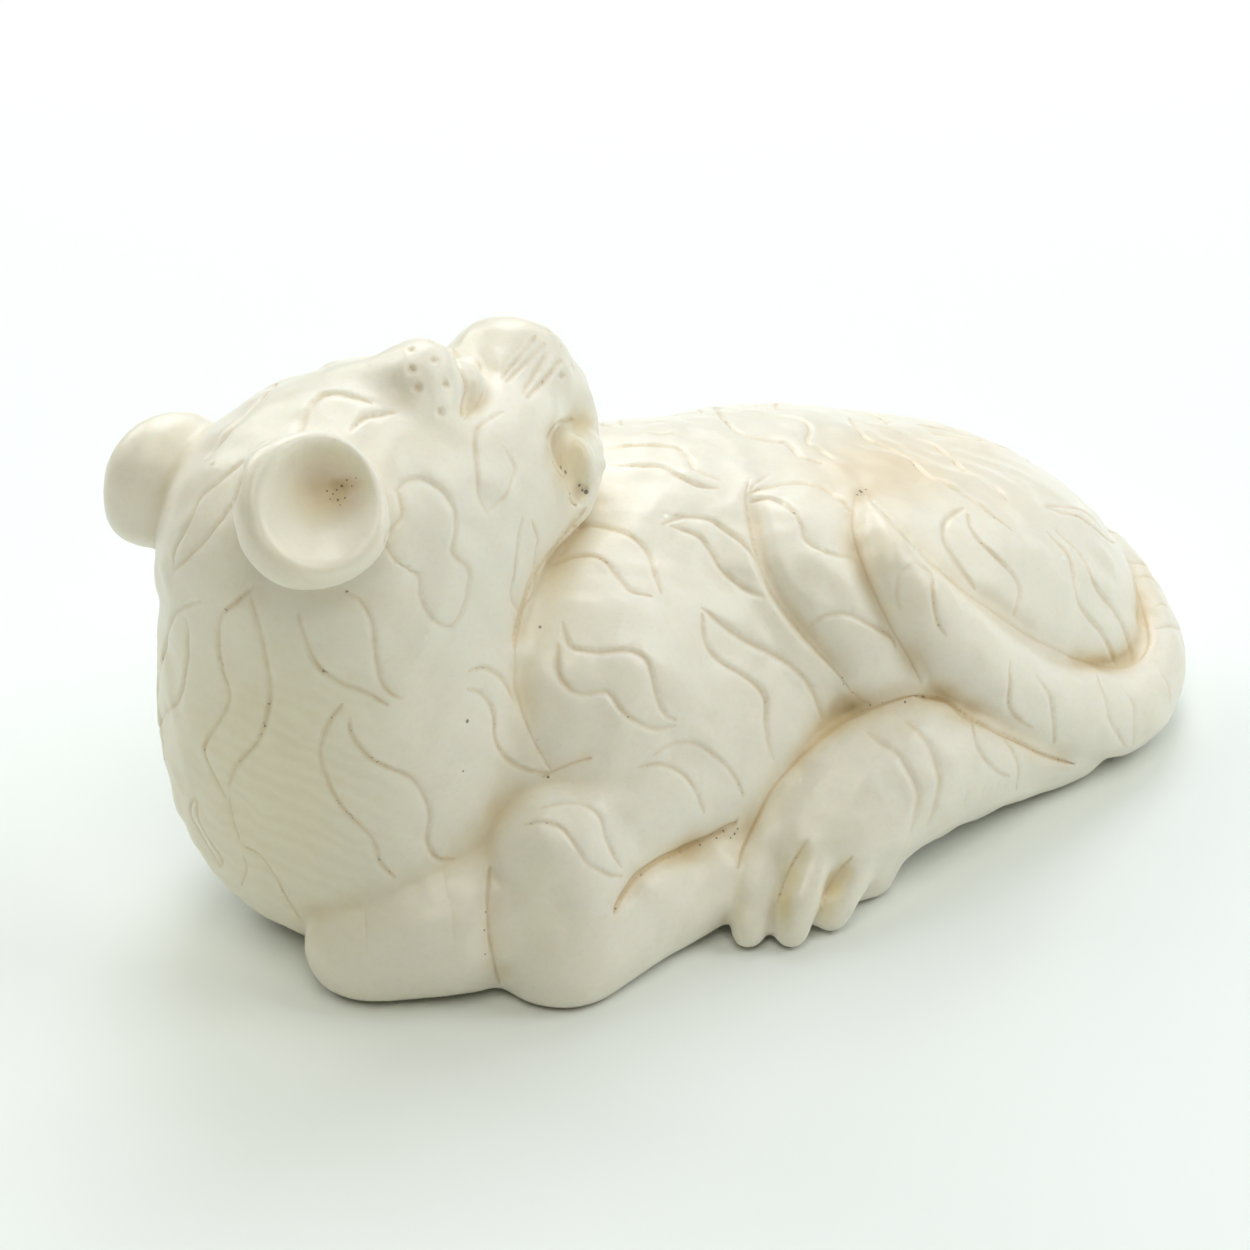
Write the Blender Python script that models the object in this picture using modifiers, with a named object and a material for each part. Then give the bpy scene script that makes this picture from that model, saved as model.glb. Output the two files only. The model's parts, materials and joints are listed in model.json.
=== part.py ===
"""Reclining tiger, a small carved and polished okimono in one piece.

Lengths are in millimetres in the tables below and are turned into metres by MM.
The tiger lies along X with its chest at -X and its rump at +X, its near flank
towards -Y, and its head turned back over its shoulder so that it looks to +X.
The figure is modelled as a sculptor blocks it out: rounded masses for the
trunk, haunches, neck and head, tapering limbs and a tail, fused into one body,
then the ear cups and the mouth are cut, and the underside is cut flat.
"""
import bpy
import math
from mathutils import Matrix, Vector, Euler

MM = 0.001

# ---------------------------------------------------------------- dimensions
BOX_CENTRE = (2.437, -0.255)      # middle of the figure's plan in the working frame
GRAIN = 0.36                    # size of the modelling grid
FINE_GRAIN = 0.30               # the same after the cuts
TRIANGLES = 9000                # finish of the faceted solid
BASE_CUT = 0.0                  # height of the flat underside

# trunk: centre, half sizes, tilt about Y
RIBCAGE = ((1.0, 0.9, 8.5), (13.1, 9.7, 8.9), 6)
SMALL_OF_BACK = ((8.5, 2.2, 7.8), (9.2, 7.8, 7.5), 13)
LOIN = ((14.6, 1.1, 5.6), (13.7, 11.2, 7.6), 15)
NEAR_SHOULDER = ((-5.6, -4.5, 8.5), (7.7, 6.5, 7.5), 0)
NEAR_FLANK = ((1.2, -3.7, 5.8), (7.6, 6.6, 6.9), 0)
NEAR_ELBOW = ((-2.0, -6.6, 5.4), (5.1, 4.4, 5.0), -15)
FAR_SHOULDER = ((-3.5, 4.8, 7.0), (7.5, 5.5, 6.7), 0)
BELLY = ((0.0, 0.0, 3.0), (14.0, 9.0, 4.5), 0)
TRUNK_BLEND = 34                # smoothing passes that melt the trunk masses together

# haunches stand proud of the trunk
NEAR_HAUNCH = ((12.0, -3.4, 6.3), (11.2, 7.4, 7.5), 18)
NEAR_KNEE = ((7.4, -4.1, 8.9), (8.1, 5.9, 5.8), 38)
HAUNCH_FRONT = ((4.3, -8.0, 12.0), (-0.852, 0.288, -0.437))     # a point on the crease, direction out of the haunch
FAR_HAUNCH = ((11.5, 5.6, 5.6), (10.0, 6.9, 6.8), 14)

# neck and chest column, from the ground up to the head
CHEST = ((-13.9, -0.2, 8.2), (8.4, 8.7, 9.5), 0)
THROAT = ((-14.6, -0.8, 14.5), (7.9, 7.6, 8.6), 0)

# head: its own frame is turned and rolled, x to the nose, y to the far ear, z to the crown
HEAD_ORIGIN = (-11.95, -0.67, 20.2)
HEAD_TURN = 4.4
HEAD_ROLL = -16.0
SKULL = ((-2.6, 0.0, -0.9), (8.4, 7.0, 6.5))
CHEEKS = ((2.2, 0.0, -0.4), (6.9, 5.5, 5.1))
JAW = ((5.0, 0.0, -1.5), (4.9, 3.7, 3.3))
MUZZLE = ((6.25, 0.0, 1.9), (3.8, 3.2, 3.8))
HEAD_BLEND = 14
BROW = ((0.5, 2.7, 4.5), (2.0, 1.8, 2.2))
EYE = ((1.9, 2.9, 3.2), (1.4, 1.1, 2.0))
FAR_BROW_DROP = 1.9
MOUTH = ((7.3, 3.0, -0.8), (1.35, 1.7, 2.2), -12)
TONGUE = ((8.1, 0.0, -1.2), (1.5, 2.2, 1.9))

# ears: distance along, across and above the head, radius, half thickness
NEAR_EAR = ((-7.95, -6.3, 2.25), 3.15, 1.75)
FAR_EAR = ((-7.7, 5.6, 1.9), 3.0, 1.7)
EAR_FACING = (-0.15, 0.92, 0.36)
EAR_CUP_BACK = 2.5              # how far outside the disc the cup's ball is centred
EAR_CUP_DEPTH = 2.8

# limbs: rows of x, y, z, radius along the middle line
FOREARM = ((-9.8, -9.2, 6.3, 2.6), (-6.8, -8.8, 6.7, 2.85), (-3.6, -8.3, 6.6, 3.0), (0.4, -8.6, 3.9, 2.0))
WRIST = ((-10.1, -9.6, 4.4), (2.9, 3.0, 4.4), 0)
WRIST_FRONT = ((-10.1, -10.0, 1.2, 2.8), (-10.1, -9.9, 5.5, 2.5))
TUCKED_PAW = ((-10.2, -10.4, 1.8, 2.6), (-5.3, -10.0, 2.15, 2.45), (-0.5, -9.6, 2.5, 2.3))
FAR_PAW = ((-17.2, -6.1, 2.0, 2.7), (-13.6, -7.2, 2.3, 3.05), (-10.0, -8.3, 2.6, 3.4))
HIND_SHANK = ((0.6, -12.2, 2.3, 2.1), (3.6, -11.2, 3.5, 2.9), (7.0, -10.3, 4.2, 3.3), (10.5, -9.5, 3.9, 3.3),
              (14.5, -8.9, 2.9, 2.8), (18.0, -9.0, 1.9, 2.1))
SOLE = ((1.8, -12.3, 1.0, 1.6), (5.4, -11.6, 1.2, 1.85))
TOE_TIPS = ((-2.0, -12.6), (-0.1, -13.3), (1.8, -13.3))
TOE_TIP_HEIGHT = 0.8
TOE_REACH = (2.8, 1.6, 2.8)     # from a toe's tip back to its knuckle
TOE_RADII = (1.4, 0.95)
TAIL = ((23.2, 5.2, 4.2, 2.0), (25.4, 2.4, 4.1, 2.05), (25.8, -0.6, 4.0, 2.1), (25.4, -3.4, 3.6, 2.1),
        (24.6, -6.0, 2.9, 2.1), (22.9, -8.1, 2.3, 2.1), (20.2, -9.3, 2.5, 2.15), (15.8, -10.0, 4.6, 2.1),
        (11.7, -9.8, 8.1, 1.95), (9.0, -8.8, 12.0, 1.55), (8.6, -7.5, 14.0, 1.0), (9.2, -5.2, 14.9, 0.45))
TAIL_STEPS = 44
FAR_HIND_FOOT = ((14.5, 9.8, 2.6, 2.9), (8.5, 11.0, 2.6, 2.8), (3.6, 11.2, 2.0, 2.2), (0.6, 11.2, 1.4, 1.5))
FAR_FOREARM = ((1.2, 8.6, 3.4, 2.6), (-4.0, 9.2, 3.2, 2.6), (-9.5, 8.6, 2.6, 2.5), (-14.0, 5.6, 2.2, 2.3))

IVORY = (0.86, 0.80, 0.68, 1.0)
IVORY_ROUGHNESS = 0.34


# ------------------------------------------------------------------ helpers
def wipe():
    for obj in list(bpy.data.objects):
        bpy.data.objects.remove(obj, do_unlink=True)


def collection(name):
    c = bpy.data.collections.new(name)
    bpy.context.scene.collection.children.link(c)
    return c


def mm(p):
    """Working-frame millimetres to metres about the middle of the plan."""
    return Vector(((p[0] - BOX_CENTRE[0]) * MM, (p[1] - BOX_CENTRE[1]) * MM, p[2] * MM))


def keep(obj, coll, name):
    for c in list(obj.users_collection):
        c.objects.unlink(obj)
    coll.objects.link(obj)
    obj.name = name
    obj.data.name = name
    return obj


def ball(coll, name, centre, radii, basis=None, segments=40, rings=24):
    """A UV sphere stretched to an ellipsoid; basis is its 3x3 rotation."""
    bpy.ops.mesh.primitive_uv_sphere_add(segments=segments, ring_count=rings, radius=1.0)
    obj = bpy.context.active_object
    stretch = Matrix.Diagonal((radii[0] * MM, radii[1] * MM, radii[2] * MM)).to_4x4()
    turn = (basis or Matrix.Identity(3)).to_4x4()
    obj.data.transform(Matrix.Translation(mm(centre)) @ turn @ stretch)
    return keep(obj, coll, name)


def tilt(degrees):
    return Matrix.Rotation(math.radians(degrees), 3, 'Y')


def smooth_path(rows, steps):
    """Points along a Catmull-Rom curve through rows of x, y, z, radius."""
    rows = [tuple(r) for r in rows]
    first = tuple(2 * a - b for a, b in zip(rows[0], rows[1]))
    last = tuple(2 * a - b for a, b in zip(rows[-1], rows[-2]))
    ext = [first] + rows + [last]
    spans = len(rows) - 1
    out = []
    for i in range(steps + 1):
        s = spans * i / steps
        k = min(int(s), spans - 1)
        t = s - k
        out.append(tuple(
            0.5 * (2 * b + (c - a) * t + (2 * a - 5 * b + 4 * c - d) * t * t + (3 * b - a - 3 * c + d) * t ** 3)
            for a, b, c, d in zip(ext[k], ext[k + 1], ext[k + 2], ext[k + 3])))
    return out


def limb(coll, name, rows, steps=12):
    """A tapering round limb: a bevelled curve turned into a mesh, with a ball at each end."""
    pts = smooth_path(rows, steps) if len(rows) > 2 else [tuple(r) for r in rows]
    curve = bpy.data.curves.new(name, 'CURVE')
    curve.dimensions = '3D'
    curve.bevel_depth = MM
    curve.bevel_resolution = 6
    curve.use_fill_caps = True
    spline = curve.splines.new('POLY')
    spline.points.add(len(pts) - 1)
    for point, row in zip(spline.points, pts):
        point.co = (*mm(row), 1.0)
        point.radius = row[3]
    obj = bpy.data.objects.new(name, curve)
    coll.objects.link(obj)
    bpy.context.view_layer.update()
    mesh = bpy.data.meshes.new_from_object(obj.evaluated_get(bpy.context.evaluated_depsgraph_get()))
    bpy.data.objects.remove(obj, do_unlink=True)
    tube = bpy.data.objects.new(name, mesh)
    coll.objects.link(tube)
    made = [tube]
    for end, row in enumerate((pts[0], pts[-1])):
        made.append(ball(coll, name + '_end%d' % end, row[:3], (row[3],) * 3, segments=28, rings=18))
    return made


def join(objs, name):
    bpy.ops.object.select_all(action='DESELECT')
    for o in objs:
        o.select_set(True)
    bpy.context.view_layer.objects.active = objs[0]
    bpy.ops.object.join()
    objs[0].name = name
    objs[0].data.name = name
    return objs[0]


def head_basis():
    return Matrix.Rotation(math.radians(HEAD_TURN), 3, 'Z') @ Matrix.Rotation(math.radians(HEAD_ROLL), 3, 'X')


def on_head(p):
    return tuple(Vector(HEAD_ORIGIN) + head_basis() @ Vector(p))


def facing(normal):
    """A basis whose Z axis is the normal."""
    n = Vector(normal).normalized()
    a = Vector((0, 0, 1)).cross(n).normalized()
    b = n.cross(a)
    return Matrix((a, b, n)).transposed()


def add_remesh(obj, name, size):
    m = obj.modifiers.new(name, 'REMESH')
    m.mode = 'VOXEL'
    m.voxel_size = size * MM
    m.adaptivity = 0.0
    m.use_smooth_shade = True


def add_cut(obj, name, cutter):
    m = obj.modifiers.new(name, 'BOOLEAN')
    m.operation = 'DIFFERENCE'
    m.solver = 'EXACT'
    m.object = cutter


def bake(obj):
    """Replace the object's mesh by its evaluated one and drop its modifiers."""
    bpy.context.view_layer.update()
    mesh = bpy.data.meshes.new_from_object(obj.evaluated_get(bpy.context.evaluated_depsgraph_get()))
    obj.modifiers.clear()
    obj.data = mesh


def hide_cutter(obj):
    obj.hide_render = True
    obj.display_type = 'WIRE'


def ivory_material():
    mat = bpy.data.materials.new('polished_ivory')
    mat.use_nodes = True
    bsdf = next(n for n in mat.node_tree.nodes if n.type == 'BSDF_PRINCIPLED')
    bsdf.inputs['Base Color'].default_value = IVORY
    bsdf.inputs['Roughness'].default_value = IVORY_ROUGHNESS
    bsdf.inputs['Metallic'].default_value = 0.0
    return mat


# ------------------------------------------------------------------- masses
def fused(coll, name, rows, size, passes):
    """Ellipsoids of one region melted into one smooth mass."""
    balls = [ball(coll, name, c, r, turn, 56, 36) for c, r, turn in rows]
    mass = join(balls, name)
    add_remesh(mass, 'fuse', size)
    soft = mass.modifiers.new('melt', 'SMOOTH')
    soft.factor = 0.5
    soft.iterations = passes
    bake(mass)
    return mass


def trunk(coll):
    rows = [(c, r, tilt(a)) for c, r, a in (RIBCAGE, SMALL_OF_BACK, LOIN, NEAR_SHOULDER, NEAR_FLANK, NEAR_ELBOW,
                                            FAR_SHOULDER, BELLY)]
    return fused(coll, 'trunk', rows, 0.5, TRUNK_BLEND)


def haunches(coll, cuts):
    near = fused(coll, 'near_haunch', [(c, r, tilt(a)) for c, r, a in (NEAR_HAUNCH, NEAR_KNEE)], 0.5, 10)
    point, out = HAUNCH_FRONT
    bpy.ops.mesh.primitive_cube_add(size=1.0)
    front = bpy.context.active_object
    front.data.transform(Matrix.Diagonal((30 * MM, 30 * MM, 20 * MM, 1.0)))
    front.data.transform(Matrix.Translation((0.0, 0.0, 10 * MM)))
    front.data.transform(Matrix.Translation(mm(point)) @ facing(out).to_4x4())
    keep(front, cuts, 'haunch_front')
    hide_cutter(front)
    add_cut(near, 'crease', front)
    add_remesh(near, 'fuse', 0.45)
    soft = near.modifiers.new('melt', 'SMOOTH')
    soft.factor = 0.5
    soft.iterations = 8
    bake(near)
    c, r, a = FAR_HAUNCH
    return [near, ball(coll, 'far_haunch', c, r, tilt(a), 56, 36)]


def neck_and_head(coll):
    basis = head_basis()
    rows = [(c, r, tilt(a)) for c, r, a in (CHEST, THROAT)]
    rows += [(on_head(c), r, basis) for c, r in (SKULL, CHEEKS, JAW, MUZZLE)]
    out = [fused(coll, 'neck_and_head', rows, 0.45, HEAD_BLEND)]
    for side, drop in ((-1, 0.0), (1, FAR_BROW_DROP)):
        for name, (c, r) in (('brow', BROW), ('eye', EYE)):
            out.append(ball(coll, name, on_head((c[0], side * c[1], c[2] - drop)), r, basis, 24, 16))
    for side, (c, r, t) in ((-1, NEAR_EAR), (1, FAR_EAR)):
        n = basis @ Vector((EAR_FACING[0], side * EAR_FACING[1], EAR_FACING[2]))
        out.append(ball(coll, 'ear', on_head(c), (r, r, t), facing(n), 40, 24))
        root = on_head((c[0] * 0.8, c[1] * 0.6, c[2] * 0.6))
        base = Vector(on_head(c)) - n.normalized() * 0.6
        out += limb(coll, 'ear_root', ((*base, 2.3), (*root, 2.2)))
    return out


def limb_masses(coll):
    c, r, a = WRIST
    out = [ball(coll, 'wrist', c, r, tilt(a), 40, 24)]
    for name, rows in (('forearm', FOREARM), ('wrist_front', WRIST_FRONT), ('tucked_paw', TUCKED_PAW),
                       ('far_paw', FAR_PAW), ('hind_shank', HIND_SHANK), ('sole', SOLE),
                       ('far_hind_foot', FAR_HIND_FOOT), ('far_forearm', FAR_FOREARM)):
        out += limb(coll, name, rows)
    for x, y in TOE_TIPS:
        tip = (x, y, TOE_TIP_HEIGHT, TOE_RADII[1])
        knuckle = (x + TOE_REACH[0], y + TOE_REACH[1], TOE_TIP_HEIGHT + TOE_REACH[2], TOE_RADII[0])
        out += limb(coll, 'toe', (knuckle, tip))
    out += limb(coll, 'tail', TAIL, TAIL_STEPS)
    return out


def carving_cutters(coll):
    """Ear cups and the two halves of the open mouth."""
    basis = head_basis()
    cutters = []
    for side, (c, r, t) in ((-1, NEAR_EAR), (1, FAR_EAR)):
        n = (basis @ Vector((EAR_FACING[0], side * EAR_FACING[1], EAR_FACING[2]))).normalized()
        centre = Vector(on_head(c)) + n * EAR_CUP_BACK
        cutters.append(ball(coll, 'ear_cup', tuple(centre), (r * 0.98, r * 0.98, EAR_CUP_DEPTH), facing(n), 40, 24))
        c0, r0, a = MOUTH
        slot = basis @ tilt(a)
        cutters.append(ball(coll, 'mouth_slot', on_head((c0[0], side * c0[1], c0[2])), r0, slot, 28, 18))
    return cutters


# --------------------------------------------------------------------- build
def build():
    wipe()
    parts = collection('reclining_tiger_okimono')
    cuts = collection('cutters')
    masses = [trunk(parts)] + haunches(parts, cuts) + neck_and_head(parts) + limb_masses(parts)
    tiger = join(masses, 'reclining_tiger')

    add_remesh(tiger, 'fuse', GRAIN)
    for i, cutter in enumerate(carving_cutters(cuts)):
        hide_cutter(cutter)
        add_cut(tiger, 'carve_%d' % i, cutter)
    bake(tiger)

    # the tongue stands in the open mouth, so it is fused on after the cut
    tongue = ball(parts, 'tongue', on_head(TONGUE[0]), TONGUE[1], head_basis(), 24, 16)
    tiger = join([tiger, tongue], 'reclining_tiger')
    add_remesh(tiger, 'refuse', FINE_GRAIN)
    soft = tiger.modifiers.new('soften', 'SMOOTH')
    soft.factor = 0.5
    soft.iterations = 5
    bake(tiger)

    count = sum(len(p.vertices) - 2 for p in tiger.data.polygons)
    thin = tiger.modifiers.new('facet', 'DECIMATE')
    thin.decimate_type = 'COLLAPSE'
    thin.ratio = TRIANGLES / count
    thin.use_collapse_triangulate = True

    bpy.ops.mesh.primitive_cube_add(size=1.0)
    ground = bpy.context.active_object
    ground.data.transform(Matrix.Diagonal((0.09, 0.07, 0.012, 1.0)))
    ground.data.transform(Matrix.Translation((0.0, 0.0, BASE_CUT * MM - 0.006)))
    keep(ground, cuts, 'ground_cut')
    hide_cutter(ground)
    add_cut(tiger, 'flat_underside', ground)

    tiger.data.shade_smooth()
    tiger.data.materials.clear()
    tiger.data.materials.append(ivory_material())
    return tiger


build()
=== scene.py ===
"""Looks of the reclining tiger, a small carved and polished okimono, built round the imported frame.

The figure is modelled in a field of signed distances in millimetres, meshed, and
then cut with the carver's lines: the stripes, the whisker strokes and the dots.
Lines on the side that the photograph shows are laid along the camera's rays onto
the surface. Lines on the other sides are laid on from the side, the top and the
ends in the same manner.
"""
import bpy
import math
import numpy as np
from mathutils import Matrix, Vector, kdtree
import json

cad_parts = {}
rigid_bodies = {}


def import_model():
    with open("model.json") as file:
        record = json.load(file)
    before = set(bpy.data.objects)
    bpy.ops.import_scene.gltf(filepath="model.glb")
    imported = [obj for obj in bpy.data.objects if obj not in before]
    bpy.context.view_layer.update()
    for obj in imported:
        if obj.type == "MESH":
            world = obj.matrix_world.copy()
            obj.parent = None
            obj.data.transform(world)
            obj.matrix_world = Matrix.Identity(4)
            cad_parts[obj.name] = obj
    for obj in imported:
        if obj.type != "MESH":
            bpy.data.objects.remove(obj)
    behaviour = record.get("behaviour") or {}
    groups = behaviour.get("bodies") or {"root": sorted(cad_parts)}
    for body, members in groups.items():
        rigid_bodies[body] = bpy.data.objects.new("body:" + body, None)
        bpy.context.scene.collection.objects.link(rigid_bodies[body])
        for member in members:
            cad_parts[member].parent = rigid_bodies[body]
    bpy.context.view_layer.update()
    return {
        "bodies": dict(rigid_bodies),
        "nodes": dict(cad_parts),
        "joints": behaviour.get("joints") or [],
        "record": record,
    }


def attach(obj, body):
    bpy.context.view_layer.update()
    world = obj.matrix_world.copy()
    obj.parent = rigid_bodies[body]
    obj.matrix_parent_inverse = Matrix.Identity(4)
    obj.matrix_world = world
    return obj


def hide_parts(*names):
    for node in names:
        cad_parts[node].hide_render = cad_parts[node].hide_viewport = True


F32 = np.float32
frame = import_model()

CENTRE = np.array([2.437, -0.255, 0.0])      # middle of the plan in the modelling frame, in mm
FINE = 0.20                                   # grid of the modelling field, in mm

# ------------------------------------------------------------ camera of the photograph, working frame in mm
AIM = np.array([0.0, 0.0, 9.0]); FOCUS = 4947.0; FAR = 220.0; ELEV = 31.0; AZIM = -33.0
def _camera():
    e, a = np.radians([ELEV, AZIM])
    back = np.array([np.sin(a)*np.cos(e), -np.cos(a)*np.cos(e), np.sin(e)])
    fw = -back
    r = np.cross(fw, [0, 0, 1.0]); r /= np.linalg.norm(r)
    return AIM + back*FAR, fw, r, np.cross(r, fw)
EYE_P, FW, RT, UP = _camera()
def to_px(x, y, z):
    vx, vy, vz = x-EYE_P[0], y-EYE_P[1], z-EYE_P[2]
    d = vx*FW[0]+vy*FW[1]+vz*FW[2]
    return (625+FOCUS*(vx*RT[0]+vy*RT[1]+vz*RT[2])/d).astype(F32), (625-FOCUS*(vx*UP[0]+vy*UP[1]+vz*UP[2])/d).astype(F32), d.astype(F32)

# ------------------------------------------------------------ modelling in a field of signed distances
def smin(a, b, k):
    if k <= 0: return np.minimum(a, b)
    h = np.maximum(k-np.abs(a-b), 0)/k
    return np.minimum(a, b)-h*h*(k*0.25)
def smax(a, b, k): return -smin(-a, -b, k)
def rot(rx=0, ry=0, rz=0):
    a, b, c = np.radians([rx, ry, rz])
    X = np.array([[1, 0, 0], [0, np.cos(a), -np.sin(a)], [0, np.sin(a), np.cos(a)]])
    Y = np.array([[np.cos(b), 0, np.sin(b)], [0, 1, 0], [-np.sin(b), 0, np.cos(b)]])
    Z = np.array([[np.cos(c), -np.sin(c), 0], [np.sin(c), np.cos(c), 0], [0, 0, 1]])
    return Z@Y@X
class Grid:
    def __init__(s, lo, hi, h, far=2.5):
        s.lo = np.array(lo, float); s.h = h; s.far = far
        s.n = np.ceil((np.array(hi, float)-s.lo)/h).astype(int)+1
        s.ax = [(s.lo[i]+h*np.arange(s.n[i])).astype(F32) for i in range(3)]
        s.d = np.full(tuple(s.n), far, F32)
    def like(s):
        g = Grid.__new__(Grid); g.lo, g.h, g.n, g.ax, g.far = s.lo, s.h, s.n, s.ax, s.far
        g.d = np.full(tuple(s.n), s.far, F32); return g
    def box(s, lo, hi, m):
        i0 = np.clip(np.floor((np.array(lo)-m-s.lo)/s.h).astype(int), 0, s.n-1)
        i1 = np.clip(np.ceil((np.array(hi)+m-s.lo)/s.h).astype(int)+1, 1, s.n)
        sl = tuple(slice(a, b) for a, b in zip(i0, i1))
        return sl, s.ax[0][sl[0]][:, None, None], s.ax[1][sl[1]][None, :, None], s.ax[2][sl[2]][None, None, :]
def ell_d(X, Y, Z, c, r, M, p=2.0):
    x, y, z = X-c[0], Y-c[1], Z-c[2]
    q = [np.abs(M[0, i]*x+M[1, i]*y+M[2, i]*z).astype(F32)/F32(r[i]) for i in range(3)]
    if p == 2.0:
        k0 = np.sqrt(sum(v*v for v in q)); k1 = np.sqrt(sum((v/F32(w))**2 for v, w in zip(q, r)))
        return (k0*(k0-1)/np.maximum(k1, 1e-6)).astype(F32)
    S = sum(v**p for v in q); f = S**(1/p)
    g = np.sqrt(sum((v**(p-1)/w)**2 for v, w in zip(q, r)))*np.maximum(S, 1e-9)**(1/p-1)
    return ((f-1)/np.maximum(g, 1e-6)).astype(F32)
def cone_d(X, Y, Z, a, b, ra, rb, flat=None):
    ab = b-a; L2 = float(ab@ab)+1e-9
    x, y, z = X-a[0], Y-a[1], Z-a[2]
    t = np.clip((x*ab[0]+y*ab[1]+z*ab[2])/L2, 0, 1)
    dx, dy, dz = x-t*ab[0], y-t*ab[1], z-t*ab[2]
    if flat is not None:
        n, f = flat; s = (1/f-1)*(dx*n[0]+dy*n[1]+dz*n[2])
        dx, dy, dz = dx+s*n[0], dy+s*n[1], dz+s*n[2]
    return (np.sqrt(dx*dx+dy*dy+dz*dz)-(ra+t*(rb-ra))).astype(F32)
def catmull(P, n):
    P = np.array(P, float); Q = np.vstack([2*P[0]-P[1], P, 2*P[-1]-P[-2]]); m = len(P)-1; out = []
    for s in np.linspace(0, m, n):
        i = min(int(s), m-1); t = s-i; a, b, c, d = Q[i:i+4]
        out.append(0.5*(2*b+(c-a)*t+(2*a-5*b+4*c-d)*t*t+(3*b-a-3*c+d)*t**3))
    return np.array(out)
class Shape:
    def __init__(s, g): s.g = g; s.G = g.like()
    def put(s, lo, hi, k, fn, op):
        sl, X, Y, Z = s.g.box(lo, hi, max(k, 0)+1.2); d = fn(X, Y, Z)
        s.G.d[sl] = smin(s.G.d[sl], d, k) if op == 'add' else smax(s.G.d[sl], -d, k)
    def ell(s, c, r, rx=0, ry=0, rz=0, k=1.0, op='add', M=None, p=2.0):
        M = rot(rx, ry, rz) if M is None else M; c = np.array(c, float); r = np.array(r, float)
        e = np.sqrt((M**2)@(r**2))*(1.0 if p == 2.0 else 1.25)
        s.put(c-e, c+e, k, lambda X, Y, Z: ell_d(X, Y, Z, c, r, M, p), op)
    def cone(s, a, b, ra, rb, k=1.0, op='add', flat=None):
        a = np.array(a, float); b = np.array(b, float); R = max(ra, rb)
        s.put(np.minimum(a, b)-R, np.maximum(a, b)+R, k, lambda X, Y, Z: cone_d(X, Y, Z, a, b, ra, rb, flat), op)
    def tube(s, P, n=24, k=1.0, op='add', kk=0.0, flat=None):
        Q = catmull(P, n); g = s.g; R = Q[:, 3].max()
        box = g.box(Q[:, :3].min(0)-R, Q[:, :3].max(0)+R, max(k, 0)+1.3)[0]
        T = np.full([q.stop-q.start for q in box], g.far, F32)
        for a, b in zip(Q[:-1], Q[1:]):
            r = max(a[3], b[3])
            sub = g.box(np.minimum(a[:3], b[:3])-r, np.maximum(a[:3], b[:3])+r, max(k, 0)+1.2)[0]
            sub = tuple(slice(max(u.start, v.start), min(u.stop, v.stop)) for u, v in zip(sub, box))
            X, Y, Z = g.ax[0][sub[0]][:, None, None], g.ax[1][sub[1]][None, :, None], g.ax[2][sub[2]][None, None, :]
            loc = tuple(slice(u.start-v.start, u.stop-v.start) for u, v in zip(sub, box))
            T[loc] = smin(T[loc], cone_d(X, Y, Z, a[:3], b[:3], a[3], b[3], flat), kk)
        s.G.d[box] = smin(s.G.d[box], T, k) if op == 'add' else smax(s.G.d[box], -T, k)
    def add(s, o, k=0.5): s.G.d = smin(s.G.d, o.G.d, k)
    def floor(s, z=0.0, k=0.0): s.G.d = smax(s.G.d, (z-s.g.ax[2])[None, None, :].astype(F32)*np.ones_like(s.G.d), k)
    def behind(s, line, k, lo, hi, side=1):
        """Keep what lies on one side of a line of the photograph, inside the box lo..hi."""
        sl, X, Y, Z = s.g.box(lo, hi, 0)
        px, py, _ = to_px(X, Y, Z); d = side*signed(px, py, line)/22.5
        s.G.d[sl] = smax(s.G.d[sl], np.clip(d, -2.5, 2.5), k)
def signed(px, py, line):
    """Signed pixel distance to an open line whose ends are carried on straight; positive on its left as drawn."""
    L = np.array(line, float); a = L[0]+(L[0]-L[1])*50; b = L[-1]+(L[-1]-L[-2])*50
    L = np.vstack([a, L, b]); E = np.diff(L, axis=0); U = E/np.linalg.norm(E, axis=1, keepdims=True)
    best = np.full(px.shape, 1e9, F32); sg = np.ones(px.shape, F32)
    for i in range(len(E)):
        p, e = L[i], E[i]; x, y = px-p[0], py-p[1]; t = (x*e[0]+y*e[1])/(e@e); tc = np.clip(t, 0, 1)
        u0 = U[i]+U[max(i-1, 0)]; u1 = U[i]+U[min(i+1, len(E)-1)]
        qx, qy = x-tc*e[0], y-tc*e[1]; d = np.hypot(qx, qy)
        c = np.where(t < 0, u0[0]*y-u0[1]*x, np.where(t > 1, u1[0]*(y-e[1])-u1[1]*(x-e[0]), e[0]*y-e[1]*x))
        m = d < best; best = np.where(m, d, best); sg = np.where(m, np.where(c < 0, 1, -1), sg)
    return best*sg

# ------------------------------------------------------------ the figure
HO = np.array([-11.95, -0.67, 20.2]); HM = rot(0, 0, 4.4)@rot(-16.0, 0, 0)
def H(f, l, u): return HO+HM@np.array([f, l, u], float)
def HD(f, l, u):
    v = HM@np.array([f, l, u], float); return v/np.linalg.norm(v)
def frame(n):
    n = np.array(n, float)/np.linalg.norm(n); a = np.cross((0, 0, 1), n); a /= np.linalg.norm(a)
    return np.stack([a, np.cross(n, a), n], 1)
TAIL = [(23.2,5.2,4.2,2.0),(25.4,2.4,4.1,2.05),(25.8,-0.6,4.0,2.1),(25.4,-3.4,3.6,2.1),(24.6,-6.0,2.9,2.1),(22.9,-8.1,2.3,2.1),
        (20.2,-9.3,2.5,2.15),(15.8,-10.0,4.6,2.15),(11.7,-9.8,8.1,2.1),(8.95,-8.8,12.0,1.7),(8.6,-7.5,14.0,1.18),(9.26,-5.07,14.87,0.3)]
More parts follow.
